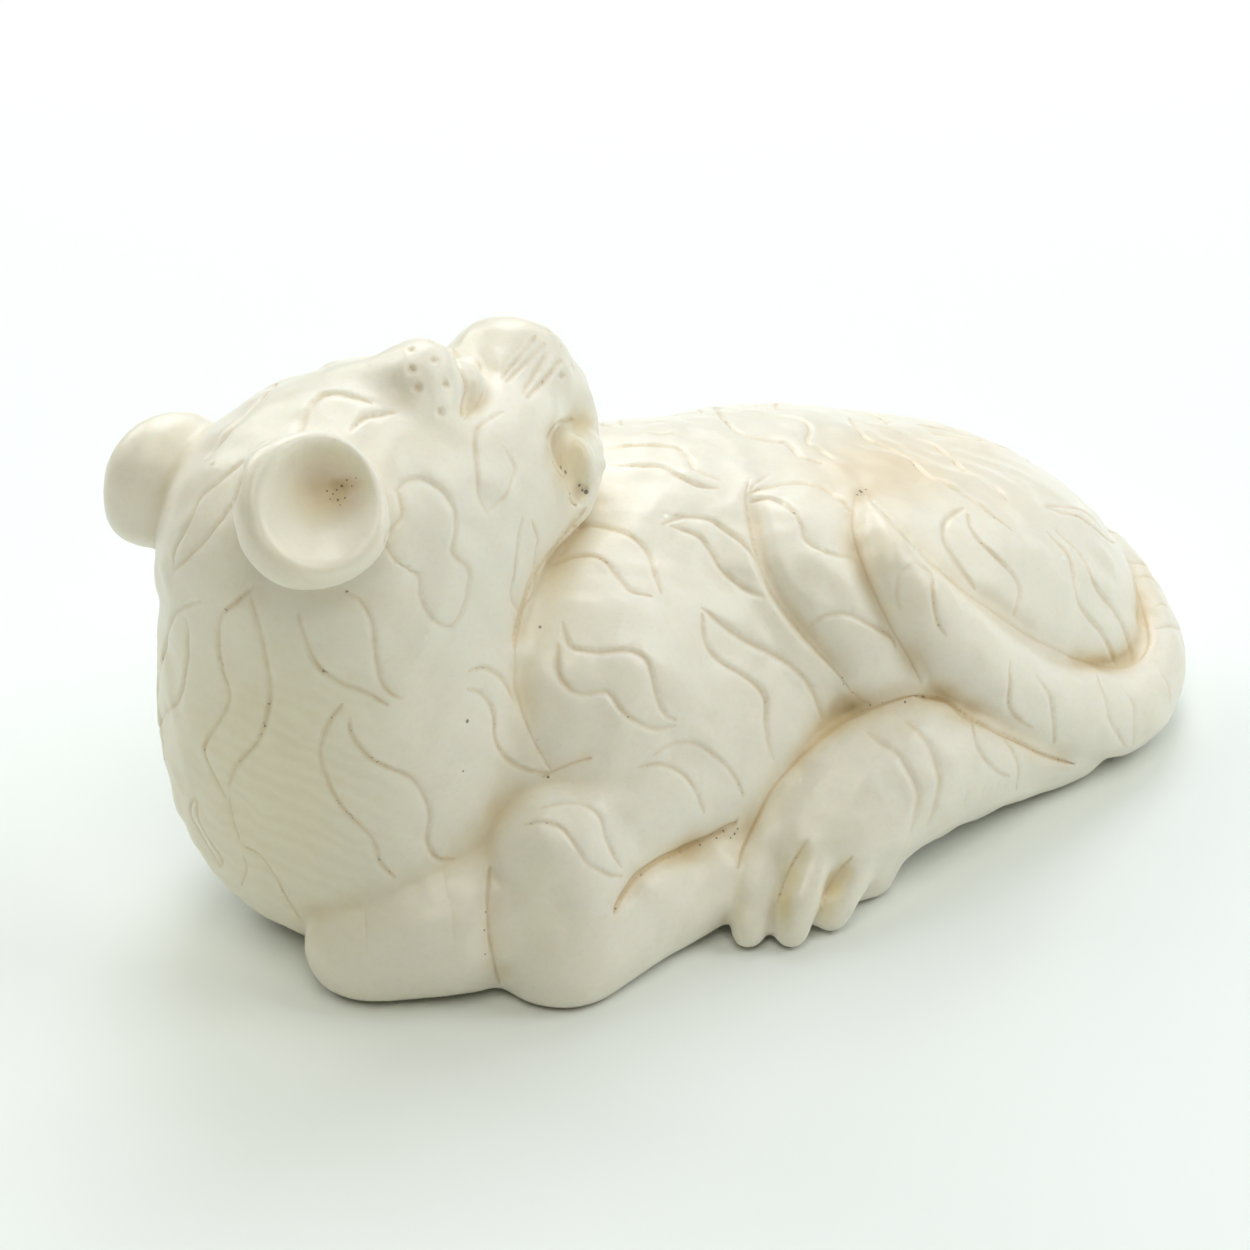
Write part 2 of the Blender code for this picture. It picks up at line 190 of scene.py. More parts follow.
RUMP_LINE = [(1000,438),(1050,468),(1096,512),(1114,536),(1131,570),(1142,606),(1149,636),(1148,655),(1135,668),(1118,668)]
HAUNCH_LINE = [(745,470),(748,500),(754,551),(769,591),(800,631),(831,665),(858,700),(862,800)]
def figure(h=0.4):
    g = Grid((-27, -19, -1.2), (33, 19, 30.5), h)
    B = Shape(g)
    B.ell((1.0,0.9,8.5),(13.0,9.6,8.7),ry=6,k=2)
    B.ell((8.5,2.2,7.7),(9.0,7.6,7.3),ry=13,k=2)
    B.ell((14.6,1.1,5.5),(13.3,10.8,7.25),ry=15.3,k=3,p=2.3)
    B.ell((-5.6,-4.5,8.5),(7.5,6.3,7.3),k=2.0)
    B.ell((1.2,-3.7,5.8),(7.5,6.5,6.8),k=2.5)
    B.ell((-2.0,-6.6,5.4),(5.0,4.3,4.9),ry=-15,k=2.5)
    B.ell((-3.5,4.8,7.0),(7.5,5.4,6.6),k=2.5)
    B.ell((0.0,0.0,3.0),(14.0,9.0,4.5),k=1.5)
    N = Shape(g)
    N.ell((12.0,-3.4,6.3),(11.2,7.3,7.4),ry=18,rz=3,k=1)
    N.ell((7.4,-4.1,8.9),(8.1,5.8,5.7),ry=38,k=2)
    N.behind(HAUNCH_LINE, 1.0, (-3,-14,-1), (16,6,22), side=-1)
    B.add(N, k=1.5)
    N = Shape(g); N.ell((11.5,5.6,5.6),(10.0,6.9,6.8),ry=14,k=1); B.add(N, k=0.8)
    B.behind(RUMP_LINE, 0.8, (10,-14,-1), (33,12,22), side=1)
    B.floor(0, 0.3)
    L = Shape(g); L.tube([(14.5,9.8,2.6,2.9),(8.5,11.0,2.6,2.8),(3.6,11.2,2.0,2.2),(0.6,11.2,1.4,1.5)],n=36,k=0,kk=0.4); B.add(L,k=0.35)
    L = Shape(g); L.tube([(1.2,8.6,3.4,2.6),(-4.0,9.2,3.2,2.6),(-9.5,8.6,2.6,2.5),(-14.0,5.6,2.2,2.3)],n=36,k=0,kk=0.4); B.add(L,k=0.35)
    C = Shape(g)
    C.ell((-13.9,-0.2,8.2),(8.3,8.6,9.4),k=2.0)
    C.ell((-14.6,-0.8,14.5),(7.8,7.5,8.5),k=3)
    E = Shape(g)
    E.ell(H(-2.6,0,-0.9),(8.3,6.9,6.4),k=1,M=HM)
    E.ell(H(2.2,0,-0.4),(6.8,5.4,5.0),k=2.0,M=HM)
    E.ell(H(5.0,0,-1.5),(4.8,3.7,3.2),k=1.5,M=HM)
    E.ell(H(6.1,0,1.7),(3.25,2.9,3.75),k=0.7,M=HM@rot(0,24,0),p=2.1)
    E.ell(H(8.2,0,0.8),(2.35,2.15,2.2),k=0.6,M=HM)
    C.add(E, k=2)
    C.ell(H(2.35,-2.75,3.75),(1.3,1.2,1.55),k=0.25,M=HM); C.ell(H(0.42,-2.65,4.35),(1.85,1.7,2.08),k=0.8,M=HM,p=2.4)
    C.ell(H(2.7,3.85,2.8),(1.35,1.3,1.45),k=0.15,M=HM); C.ell(H(0.5,3.8,3.0),(1.75,1.65,1.8),k=0.5,M=HM)
    C.ell(H(0.15,-4.05,2.3),(1.45,1.0,2.3),k=1.0,M=HM)
    C.ell(H(-1.2,-0.9,4.2),(1.9,2.1,1.6),k=1.2,M=HM)
    for s, r, th, (f, l, u) in ((-1,3.2,1.75,(-7.86,-6.3,2.25)),(1,3.0,1.7,(-7.7,5.6,1.9))):
        n = HD(-0.15,s*0.92,0.36); M = frame(n); c = H(f,l,u); t = HD(0.75,0,0.6)
        Q = Shape(g); Q.ell(c,(r,r,th),k=0,M=M,p=2.3); Q.cone(c-n*0.6,H(f*0.8,l*0.6,u*0.6),2.4,2.2,k=0.8)
        C.add(Q, k=0.4)
        C.ell(c+n*2.35,(r*0.88,r*0.88,2.35),k=0.75,op='cut',M=M)
        C.ell(c+n*0.95+t*1.05,(1.75,1.75,2.1),k=0.9,op='cut',M=M)
    B.add(C, k=0.9)
    L = Shape(g)
    L.ell((-9.85,-9.6,4.4),(2.85,3.0,4.4),k=1)
    L.cone((-9.85,-10.0,1.2),(-9.85,-9.9,5.5),2.75,2.45,k=0.8)
    L.tube([(-9.8,-9.2,6.3,2.6),(-6.8,-8.8,6.7,2.85),(-3.6,-8.3,6.6,3.0),(0.4,-8.6,3.9,2.0)],n=30,k=1.2,kk=0.3)
    L.cone((-10.1,-10.6,1.9),(-7.0,-10.3,3.4),2.7,2.6,k=1.5)
    B.add(L, k=0.3)
    L = Shape(g); L.cone((-10.0,-10.8,1.8),(-0.7,-9.8,2.3),2.7,2.3,k=1.0); B.add(L, k=0.9)
    L = Shape(g); L.tube([(-17.2,-6.2,2.0,2.6),(-14.2,-7.6,3.0,3.3),(-10.0,-8.7,3.4,3.6)],n=16,k=0.5,kk=0.3); B.add(L, k=0.5)
    L = Shape(g)
    L.tube([(2.0,-11.4,2.7,1.9),(3.6,-11.2,3.4,2.75),(7.0,-10.3,4.2,3.3),(10.5,-9.5,3.9,3.3),(14.5,-8.9,2.9,2.8),(18.0,-9.0,1.9,2.1)],n=40,k=0,kk=0.5)
    L.cone((0.9,-11.9,0.6),(4.6,-11.9,1.0),1.05,1.6,k=0.8)
    toes = [np.array(t) for t in ([(0.35,-10.6,3.75,1.15),(-1.15,-12.05,2.12,1.0),(-2.1,-13.0,0.66,0.70)], [(1.8,-12.2,3.9,1.25),(0.38,-13.38,2.3,1.0),(-0.52,-13.98,0.66,0.72)],
                [(3.5,-12.6,3.2,1.3),(2.5,-13.55,2.0,0.95),(1.6,-13.9,0.66,0.70)])]
    for toe in toes: L.tube(toe, n=12, k=0.3, kk=0.2)
    for p, q in zip(toes[:-1], toes[1:]):          # the web of ivory between two toes
        for t in np.linspace(0, 2, 9):
            i = min(int(t), 1); u, v = p[i]+(p[i+1]-p[i])*(t-i), q[i]+(q[i+1]-q[i])*(t-i); r = 0.5*(u[3]+v[3])*0.52
            L.cone(u[:3]+(0.12,0.50,0), v[:3]+(0.12,0.50,0), r, r, k=0.12)
    L.ell((4.5,-13.3,2.0),(0.6,0.55,0.7),k=0.5)
    L.cone((0.7,-10.5,4.0),(3.6,-10.2,5.0),1.35,2.0,k=0.8)
    B.add(L, k=0.3)
    L = Shape(g); L.tube(TAIL, n=220, k=0, kk=0); B.add(L, k=0.2)
    B.floor(0, 0.5)
    return B

# ------------------------------------------------------------ reading the field
def sample(G, P):
    q = np.clip((P-G.lo)/G.h, 0, np.array(G.n)-1.001)
    i = q.astype(np.int32); f = (q-i).astype(F32)
    d = G.d.ravel(); ny, nz = G.n[1], G.n[2]
    o = (i[:, 0]*ny+i[:, 1])*nz+i[:, 2]
    fx, fy, fz = f[:, 0], f[:, 1], f[:, 2]
    def zz(k): return d[k]*(1-fz)+d[k+1]*fz
    return ((zz(o)*(1-fy)+zz(o+nz)*fy)*(1-fx)+(zz(o+ny*nz)*(1-fy)+zz(o+ny*nz+nz)*fy)*fx)
def gradient(G, P, e=None):
    e = e or G.h*0.75; g = np.empty(P.shape, F32)
    for a in range(3):
        v = np.zeros(3); v[a] = e
        g[:, a] = (sample(G, P+v)-sample(G, P-v))/(2*e)
    return g
def unit(v): return v/np.maximum(np.linalg.norm(v, axis=-1, keepdims=True), 1e-9)
def march(G, O, D, far=120.0):
    """Where rays meet the surface; a ray that misses gives its nearest place, and its clearance."""
    O = np.broadcast_to(np.asarray(O, float), D.shape).copy(); hi = G.lo+G.h*(np.array(G.n)-1)
    with np.errstate(divide='ignore', invalid='ignore'):
        a, b = (G.lo-O)/D, (hi-O)/D
    t = np.maximum(np.nanmax(np.minimum(a, b), axis=1), 0)+0.05; end = np.nanmin(np.maximum(a, b), axis=1)
    bt, bd = t.copy(), np.full(len(D), 9.0)
    live = np.ones(len(D), bool)
    for _ in range(160):
        k = np.nonzero(live)[0]
        if not len(k): break
        d = sample(G, O[k]+D[k]*t[k, None])
        m = d < bd[k]; bd[k[m]] = d[m]; bt[k[m]] = t[k[m]]
        live[k[d < 0.01]] = False
        go = d >= 0.01; t[k[go]] += np.maximum(d[go]*0.85, 0.03); live[k[t[k] > end[k]]] = False
    P = O+D*bt[:, None]
    return P, bd
def settle(G, P, n=3):
    for _ in range(n):
        g = gradient(G, P); P = P-g*(sample(G, P)/np.maximum((g*g).sum(1), 0.05))[:, None]
    return P
def surface(G):
    """Surface nets: one vertex in each cell that the surface crosses."""
    neg = G.d < 0
    c = sum(neg[i:neg.shape[0]-1+i, j:neg.shape[1]-1+j, k:neg.shape[2]-1+k].astype(np.int8)
            for i in (0, 1) for j in (0, 1) for k in (0, 1))
    cell = (c > 0) & (c < 8); ids = np.argwhere(cell); idx = np.full(cell.shape, -1, np.int32); idx[cell] = np.arange(len(ids))
    corner = np.array([(i, j, k) for i in (0, 1) for j in (0, 1) for k in (0, 1)])
    v = np.stack([G.d[ids[:, 0]+a, ids[:, 1]+b, ids[:, 2]+e] for a, b, e in corner], 1)
    acc = np.zeros((len(ids), 3)); num = np.zeros(len(ids))
    for p in range(8):
        for q in range(p+1, 8):
            if abs(corner[p]-corner[q]).sum() != 1: continue
            m = (v[:, p] < 0) != (v[:, q] < 0); t = v[m, p]/(v[m, p]-v[m, q])
            acc[m] += corner[p]+t[:, None]*(corner[q]-corner[p]); num[m] += 1
    V = G.lo+G.h*(ids+acc/num[:, None]); Q = []
    for ax in range(3):
        b, e = [a for a in range(3) if a != ax]
        s0 = [slice(None)]*3; s1 = [slice(None)]*3; s0[ax] = slice(0, -1); s1[ax] = slice(1, None)
        x = np.argwhere(neg[tuple(s0)] != neg[tuple(s1)])
        x = x[(x[:, b] > 0) & (x[:, e] > 0) & (x[:, b] < G.n[b]-1) & (x[:, e] < G.n[e]-1)]
        inside = neg[x[:, 0], x[:, 1], x[:, 2]]
        def at(db, de):
            y = x.copy(); y[:, b] -= db; y[:, e] -= de; return idx[y[:, 0], y[:, 1], y[:, 2]]
        q = np.stack([at(1, 1), at(0, 1), at(0, 0), at(1, 0)], 1)
        flip = inside if ax != 1 else ~inside
        q[~flip] = q[~flip][:, ::-1]; Q.append(q)
    return V, np.vstack(Q)
def triangles(V, Q):
    a = ((V[Q[:, 0]]-V[Q[:, 2]])**2).sum(1) < ((V[Q[:, 1]]-V[Q[:, 3]])**2).sum(1)
    T1 = Q[a]; T2 = Q[~a]
    return np.vstack([T1[:, [0, 1, 2]], T1[:, [0, 2, 3]], T2[:, [0, 1, 3]], T2[:, [1, 2, 3]]])
def relax(V, T, n, w=0.5):
    """Even out the vertices along the surface."""
    E = np.vstack([T[:, [0, 1]], T[:, [1, 2]], T[:, [2, 0]]])
    deg = np.bincount(E.ravel(), minlength=len(V)).astype(float)[:, None]
    for _ in range(n):
        S = np.stack([np.bincount(E[:, 0], V[E[:, 1], a], len(V))+np.bincount(E[:, 1], V[E[:, 0], a], len(V)) for a in range(3)], 1)
        V = V+w*(S/np.maximum(deg, 1)-V)
    return V
def refine(V, T, mark):
    """Split every marked triangle in four, and its neighbours so that no gap opens."""
    n = len(V); e = np.sort(np.vstack([T[:, [0, 1]], T[:, [1, 2]], T[:, [2, 0]]]), axis=1).astype(np.int64)
    key = e[:, 0]*n+e[:, 1]; u, inv = np.unique(key, return_inverse=True); inv = inv.reshape(3, -1)
    split = np.zeros(len(u), bool); split[inv[:, mark].ravel()] = True
    while True:          # a triangle with two split sides is split in four as well
        k = split[inv].sum(0); two = k == 2
        if not two.any(): break
        split[inv[:, two].ravel()] = True
    new = np.full(len(u), -1, np.int64); new[split] = n+np.arange(split.sum())
    us = u[split]; V = np.vstack([V, (V[us//n]+V[us % n])/2]); m = new[inv].T; k = (m >= 0).sum(1); out = [T[k == 0]]
    t, q = T[k == 3], m[k == 3]
    out += [np.stack([t[:, 0], q[:, 0], q[:, 2]], 1), np.stack([q[:, 0], t[:, 1], q[:, 1]], 1),
            np.stack([q[:, 2], q[:, 1], t[:, 2]], 1), np.stack([q[:, 0], q[:, 1], q[:, 2]], 1)]
    for s in range(3):
        w = (k == 1) & (m[:, s] >= 0); t, q = T[w], m[w, s]; a, b, c = t[:, s], t[:, (s+1) % 3], t[:, (s+2) % 3]
        out += [np.stack([a, q, c], 1), np.stack([q, b, c], 1)]
    return V, np.vstack(out).astype(np.int64)

# ------------------------------------------------------------ views that lines are drawn in
def photo_rays(px):
    px = np.asarray(px, float)
    d = FW+RT*((px[:, :1]-625)/FOCUS)-UP*((px[:, 1:]-625)/FOCUS)
    return np.broadcast_to(EYE_P, d.shape), unit(d)
def flat_view(side):
    """Straight-on view of a side: far (+Y), rear (+X), front (-X) or top, in mm of the modelling frame."""
    def f(uv):
        uv = np.asarray(uv, float); n = len(uv); z = np.zeros(n); o = np.full(n, 60.0)
        if side == 'far': return np.stack([uv[:, 0], o, uv[:, 1]], 1), np.stack([z, z-1, z], 1)
        if side == 'rear': return np.stack([o, uv[:, 0], uv[:, 1]], 1), np.stack([z-1, z, z], 1)
        if side == 'front': return np.stack([-o, uv[:, 0], uv[:, 1]], 1), np.stack([z+1, z, z], 1)
        return np.stack([uv[:, 0], uv[:, 1], o], 1), np.stack([z, z, z-1], 1)
    return f
def smooth_line(pts, step):
    """A soft curve through the points, resampled to even steps."""
    P = np.array(pts, float)
    if len(P) > 2: P = catmull(P, max(8*(len(P)-1), 12))
    s = np.r_[0, np.cumsum(np.linalg.norm(np.diff(P, axis=0), axis=1))]
    n = max(int(s[-1]/step)+1, 3)
    return np.stack([np.interp(np.linspace(0, s[-1], n), s, P[:, i]) for i in range(P.shape[1])], 1)
class Cuts:
    """Lines and dots cut in the surface: samples of place, half width, depth and stain."""
    def __init__(s): s.rows = []
    def line(s, G, view, pts, step, half, deep, stain=0.6, ends=(1, 1), reach=1.2, tip=0.9):
        P2 = smooth_line(pts, step); O, D = view(P2); P, miss = march(G, O, D)
        ok = miss < reach; P, d = P[ok], miss[ok]
        if len(P) < 3: return
        P = settle(G, P)
        gap = np.linalg.norm(np.diff(P, axis=0), axis=1)
        for part in np.split(np.arange(len(P)), np.nonzero(gap > 1.2)[0]+1):
            if len(part) < 3: continue
            Q = P[part]; L = np.r_[0, np.cumsum(np.linalg.norm(np.diff(Q, axis=0), axis=1))]
            n = max(int(L[-1]/0.05), 3); x = np.linspace(0, L[-1], n)
            Q = np.stack([np.interp(x, L, Q[:, i]) for i in range(3)], 1)
            for _ in range(2): Q[1:-1] = (Q[:-2]+2*Q[1:-1]+Q[2:])/4
            taper = np.ones(n)
            if ends[0] and part[0] == 0: taper = np.minimum(taper, np.clip(x/tip, 0, 1)**0.6)
            if ends[1] and part[-1] == len(P)-1: taper = np.minimum(taper, np.clip((L[-1]-x)/tip, 0, 1)**0.6)
            wav = 1+0.10*np.sin(x*2.3+len(s.rows))+0.06*np.sin(x*7.1+2*len(s.rows))
            T = unit(np.gradient(Q, axis=0))
            s.rows.append(np.column_stack([Q, T, half*(0.55+0.45*taper), deep*(0.15+0.85*taper)*wav, np.full(n, stain)]))
    def dot(s, G, view, at, r, deep, stain=0.5):
        O, D = view(np.array([at], float)); P, miss = march(G, O, D)
        if miss[0] > 1.0: return
        P = settle(G, P); s.rows.append(np.column_stack([P, np.zeros((1, 3)), [[r, deep, stain]]]))
    def all(s): return np.vstack(s.rows)
def nearest(V, S, reach):
    """For each vertex, the nearest cut sample within reach, and its distance from the line."""
    tree = kdtree.KDTree(len(S))
    for i, p in enumerate(S[:, :3]): tree.insert(p, i)
    tree.balance()
    cell = 0.8; keyof = lambda p: np.floor((p+100)/cell).astype(np.int64)
    K = keyof(S[:, :3]); near = set()
    for dx in (-1, 0, 1):
        for dy in (-1, 0, 1):
            for dz in (-1, 0, 1): near.update((((K[:, 0]+dx)*1000+K[:, 1]+dy)*1000+K[:, 2]+dz).tolist())
    kv = keyof(V); code = (kv[:, 0]*1000+kv[:, 1])*1000+kv[:, 2]
    cand = np.nonzero(np.isin(code, np.fromiter(near, np.int64)))[0]
    idx = np.full(len(V), -1); dist = np.full(len(V), 9.0)
    for i in cand:
        _, j, d = tree.find(V[i])
        if d < reach: idx[i] = j; dist[i] = d
    m = idx >= 0; j = idx[m]; w = V[m]-S[j, :3]; along = (w*S[j, 3:6]).sum(1)
    dist[m] = np.sqrt(np.maximum((w*w).sum(1)-np.clip(np.abs(along), 0, 0.04)**2, 0))
    return idx, dist

# ------------------------------------------------------------ the carver's lines, in pixels of the photograph
# name: half width and depth in mm, stain, then the lines
NECK = [
    [(200,602),(193,604),(175,613),(168,630),(163,657),(156,683)], [(185,619),(188,654),(184,683),(175,704),(162,715),(160,733)],
    [(253,586),(237,601),(219,619),(219,654),(228,689),(225,710),(206,742),(209,768),(225,798)],
    [(250,595),(257,622),(265,657),(270,692),(266,721),(257,742),(237,765),(228,786)],
    [(298,613),(304,636),(316,663),(339,683),(366,693),(389,705)],
    [(345,592),(360,601),(372,622),(375,648),(380,677),(389,692),(401,698)],
    [(342,704),(328,724),(320,751),(325,774),(342,806),(372,839),(380,862),(395,877)],
    [(350,717),(351,733),(366,754),(389,768),(410,777),(423,795),(430,815),(427,839),(436,858),(454,859)],
    [(470,671),(486,668),(504,680),(515,701)],
    [(468,689),(483,695),(493,712),(495,739),(507,759),(527,770),(551,773)]]
CRACKS = [[(228,786),(231,815),(241,842)], [(240,843),(260,856),(275,877),(290,903),(300,919)], [(244,853),(246,871),(241,886)]]
HEAD = [
    [(281,379),(262,399),(240,420),(222,440),(204,460)],
    [(244,465),(243,462),(230,472),(215,484),(199,497),(190,518),(183,534),(176,550),(172,572)],
    [(244,465),(240,480),(234,500),(227,511),(220,521),(195,550),(172,572)],
    [(300,432),(307,413),(318,399),(335,394),(357,399),(371,404)], [(395,413),(371,416),(360,421),(350,432)],
    [(504,411),(490,418),(479,428),(475,441),(476,458),(479,493),(488,513)],
    [(488,513),(504,497),(516,472),(512,458),(504,446)]]
BEAN = [[(397,490),(406,481),(423,479),(441,490),(450,501),(455,514),(455,532),(451,550),(458,560),(467,567),(470,581),(465,606),(451,627),
         (434,620),(421,599),(420,578),(410,570),(399,564),(386,546),(386,536),(392,528),(402,516),(400,500),(397,490)]]
SLIVER = [[(523,518),(519,541),(516,564),(513,585),(513,599),(521,614)], [(532,520),(537,542),(536,566),(535,588),(521,614)]]
BODY = [
    [(570,527),(595,525),(622,531),(647,550),(655,573),(661,593)], [(549,564),(576,556),(601,559),(619,576),(632,591),(651,596)],
    [(563,622),(566,637),(573,648),(598,652),(629,651),(647,662),(656,692),(665,714),(676,720)],
    [(558,643),(558,671),(570,689),(586,694),(607,692),(622,711),(641,724),(656,729),(676,726)],
    [(662,524),(684,516),(708,519),(726,530),(745,545),(760,564)], [(671,525),(696,535),(711,551),(723,570),(742,587),(766,597)],
    [(702,608),(723,625),(751,643),(775,655),(800,674),(815,695),(824,720)],
    [(702,614),(708,646),(726,665),(751,680),(765,698),(766,726),(775,760)],
    [(604,446),(640,446),(671,446),(687,455),(696,469),(720,479)], [(613,466),(640,466),(662,466),(681,478),(702,486),(719,487)],
    [(714,407),(745,411),(785,415),(809,426),(806,441),(821,450),(835,460)],
    [(714,407),(730,426),(748,435),(785,443),(800,456),(821,463)],
    [(870,423),(898,432),(932,443),(953,461),(971,475),(996,486),(1007,500)],
    [(850,418),(867,438),(898,452),(928,475),(943,482),(975,500),(996,518),(1011,530)],
    [(751,493),(769,486),(794,482),(821,487),(840,499),(850,512)],
    [(751,502),(772,499),(791,509),(801,524),(806,539),(824,551),(853,557)],
    [(809,628),(824,616),(846,614),(867,622),(889,636),(895,646)],
    [(964,507),(946,521),(946,543),(957,561),(975,589)], [(968,514),(975,536),(996,557),(1014,575),(1021,593),(1014,614)],
    [(1048,532),(1068,554),(1075,579),(1082,607),(1104,636),(1116,664)],
    [(1057,530),(1082,554),(1096,586),(1118,614),(1130,643),(1132,661)]]
THIN = [
    [(943,425),(962,432),(982,439),(1005,448),(1027,457)], [(1052,475),(1079,496),(1096,521)], [(636,424),(655,421),(674,427)],
    [(640,433),(660,434),(674,432)], [(749,493),(757,482),(772,472)]]
LIMBS = [
    [(541,808),(562,803),(582,804),(600,817),(608,841),(614,856),(622,867)],
    [(526,825),(544,822),(562,829),(576,847),(588,864),(608,874),(622,876)],
    [(653,755),(671,746),(696,744),(720,760),(736,778),(743,796)], [(638,767),(659,764),(681,773),(696,790),(704,812)],
    [(916,561),(900,575),(896,593),(900,610)], [(916,561),(932,575),(932,593),(936,620),(946,636)],
    [(1011,661),(1009,685),(1009,707),(1020,720),(1032,727)], [(1037,675),(1050,696),(1054,725),(1054,743)],
    [(1096,675),(1107,700),(1111,721),(1125,746)], [(1121,680),(1134,704),(1136,729),(1134,745)],
    [(1161,671),(1169,686),(1171,704)], [(1155,607),(1163,604),(1168,608)], [(1157,628),(1170,626),(1182,629)],
    [(972,722),(975,738),(980,751),(989,764),(1000,773),(1010,777)]]
HEEL = [[(1003,737),(1012,748),(1018,760),(1020,773),(1017,790)]]
TOE_GAPS = [[(809,837),(802,848),(794,861),(787,876),(782,890),(778,902)], [(853,855),(844,866),(835,878),(827,891),(822,902)]]
KNUCKLE = [[(868,732),(885,745),(900,757),(916,786),(918,804),(912,832)], [(907,723),(922,737),(932,750),(939,779),(936,802),(929,825)]]
FAINT = [[(366,910),(366,933),(366,958)], [(444,868),(447,890),(452,915),(455,941)], [(420,562),(414,570),(399,566)],
         [(871,500),(893,525),(905,540)], [(905,556),(925,548)], [(1128,672),(1140,665),(1150,655)]]
WHISKERS = [[(535,336),(519,357),(502,378)], [(546,343),(526,362),(506,382)], [(549,351),(536,372),(523,393)], [(562,360),(545,379),(527,398)]]
BROW_DOTS = [(411,349),(433,341),(412,369),(434,360),(418,388),(446,384),(441,412),(400,336)]
MUZZLE_DOTS = [(548,332),(562,346),(574,366)]
MARKS = [[(964+i*8,803-i*2.4),(968+i*8,790-i*2.6)] for i in range(7)]

# creases between the masses: half width, depth in mm, stain (dirt in the crease line, and the strength of the painted
# shade beside it), then the line
FOLDS = [
    (0.09, 0.18, 0.50, [(587,508),(576,520),(565,533),(555,545),(543,561),(534,576),(526,595),(521,613),(517,631),(515,650)]),
    (0.08, 0.06, 0.24, [(515,650),(515,668),(516,686),(522,710),(531,735),(541,754),(552,772)]),
    (0.08, 0.07, 0.30, [(749,480),(746,495),(747,512),(751,532),(755,551),(762,572),(770,591),(784,612),(800,631),(816,650),(833,668),(850,690)]),
    (0.08, 0.07, 0.22, [(857,494),(853,508),(852,527),(857,550),(864,571),(873,592),(884,614),(895,635),(908,656),(921,682)]),
    (0.08, 0.06, 0.30, [(870,496),(881,510),(893,524),(910,543),(929,561),(950,580),(971,597),(992,611),(1014,626),(1035,640),(1057,650),(1075,659),(1093,664),(1112,667),(1130,665),(1143,655),(1148,640),(1144,615),(1137,590),(1130,567)]),
    (0.08, 0.06, 0.44, [(541,778),(552,772),(566,766),(580,761),(592,758)]),
    (0.09, 0.10, 0.28, [(490,866),(488,885),(487,905),(489,935),(494,962),(500,985)]),
    (0.09, 0.11, 0.34, [(738,868),(741,854),(748,836),(760,812),(774,788),(790,768),(807,750),(824,734),(843,721),(860,712),(879,706),(897,700),(914,696)]),
    (0.11, 0.12, 0.58, [(914,696),(943,700),(957,709),(971,719),(995,731),(1021,743),(1038,753),(1056,759),(1074,764)]),
    (0.07, 0.05, 0.20, [(850,690),(862,700),(874,706)]),
    (0.11, 0.18, 0.62, [(614,914),(618,903),(624,893),(633,881),(645,870),(662,859),(682,850),(702,840),(720,832),(738,822)])]
# skin that falls away towards a crease: the line, side (1 = left as drawn), drop and width in mm
SLOPES = [(FOLDS[2][3], 1, 0.42, 0.8), (FOLDS[3][3], -1, 0.30, 0.6), (FOLDS[4][3], 1, 0.25, 0.6), (FOLDS[0][3], 1, 0.25, 0.5), (FOLDS[1][3], 1, 0.22, 0.8), (FOLDS[7][3], 1, 0.34, 0.8), (FOLDS[8][3], 1, 0.16, 0.5),
          (FOLDS[5][3]+[(612,752),(632,744),(652,736)], 1, 0.13, 0.7), (FOLDS[6][3], 1, 0.30, 0.8), (FOLDS[6][3], -1, 0.20, 0.5),
          (FOLDS[10][3], -1, 0.36, 0.45), (FOLDS[10][3], 1, 0.10, 0.30)]
# dark specks of dirt: pixel and radius in mm
SPECKS = [(347,592,0.09),(540,627,0.08),(467,721,0.11),(463,771,0.06),(342,486,0.08),(337,490,0.06),(347,480,0.06),(333,494,0.05),(327,491,0.05),(338,500,0.07),(345,498,0.05),(352,486,0.05),(330,499,0.04),(356,478,0.04),(340,505,0.04),(562,467,0.13),(566,472,0.12),(565,477,0.08),
          (579,485,0.11),(582,490,0.09),(586,492,0.13),(570,493,0.07),(861,491,0.13),(857,495,0.08),(866,489,0.07),(735,834,0.08),(738,829,0.07),(731,838,0.06),(870,705,0.07),(882,702,0.06),(905,702,0.07),(952,706,0.06),
          (968,716,0.06),(982,726,0.05),(548,777,0.08),(554,771,0.06),(590,757,0.06),(843,684,0.06),(853,693,0.06),(842,678,0.05),(1012,692,0.05),(1051,712,0.05),(1130,650,0.06),(486,912,0.07),(484,930,0.06),(485,954,0.05),
          (700,845,0.06),(716,838,0.07),(722,832,0.06),(672,855,0.05),(650,868,0.05),(182,609,0.05),(262,655,0.05),(229,693,0.06),(260,640,0.04)]
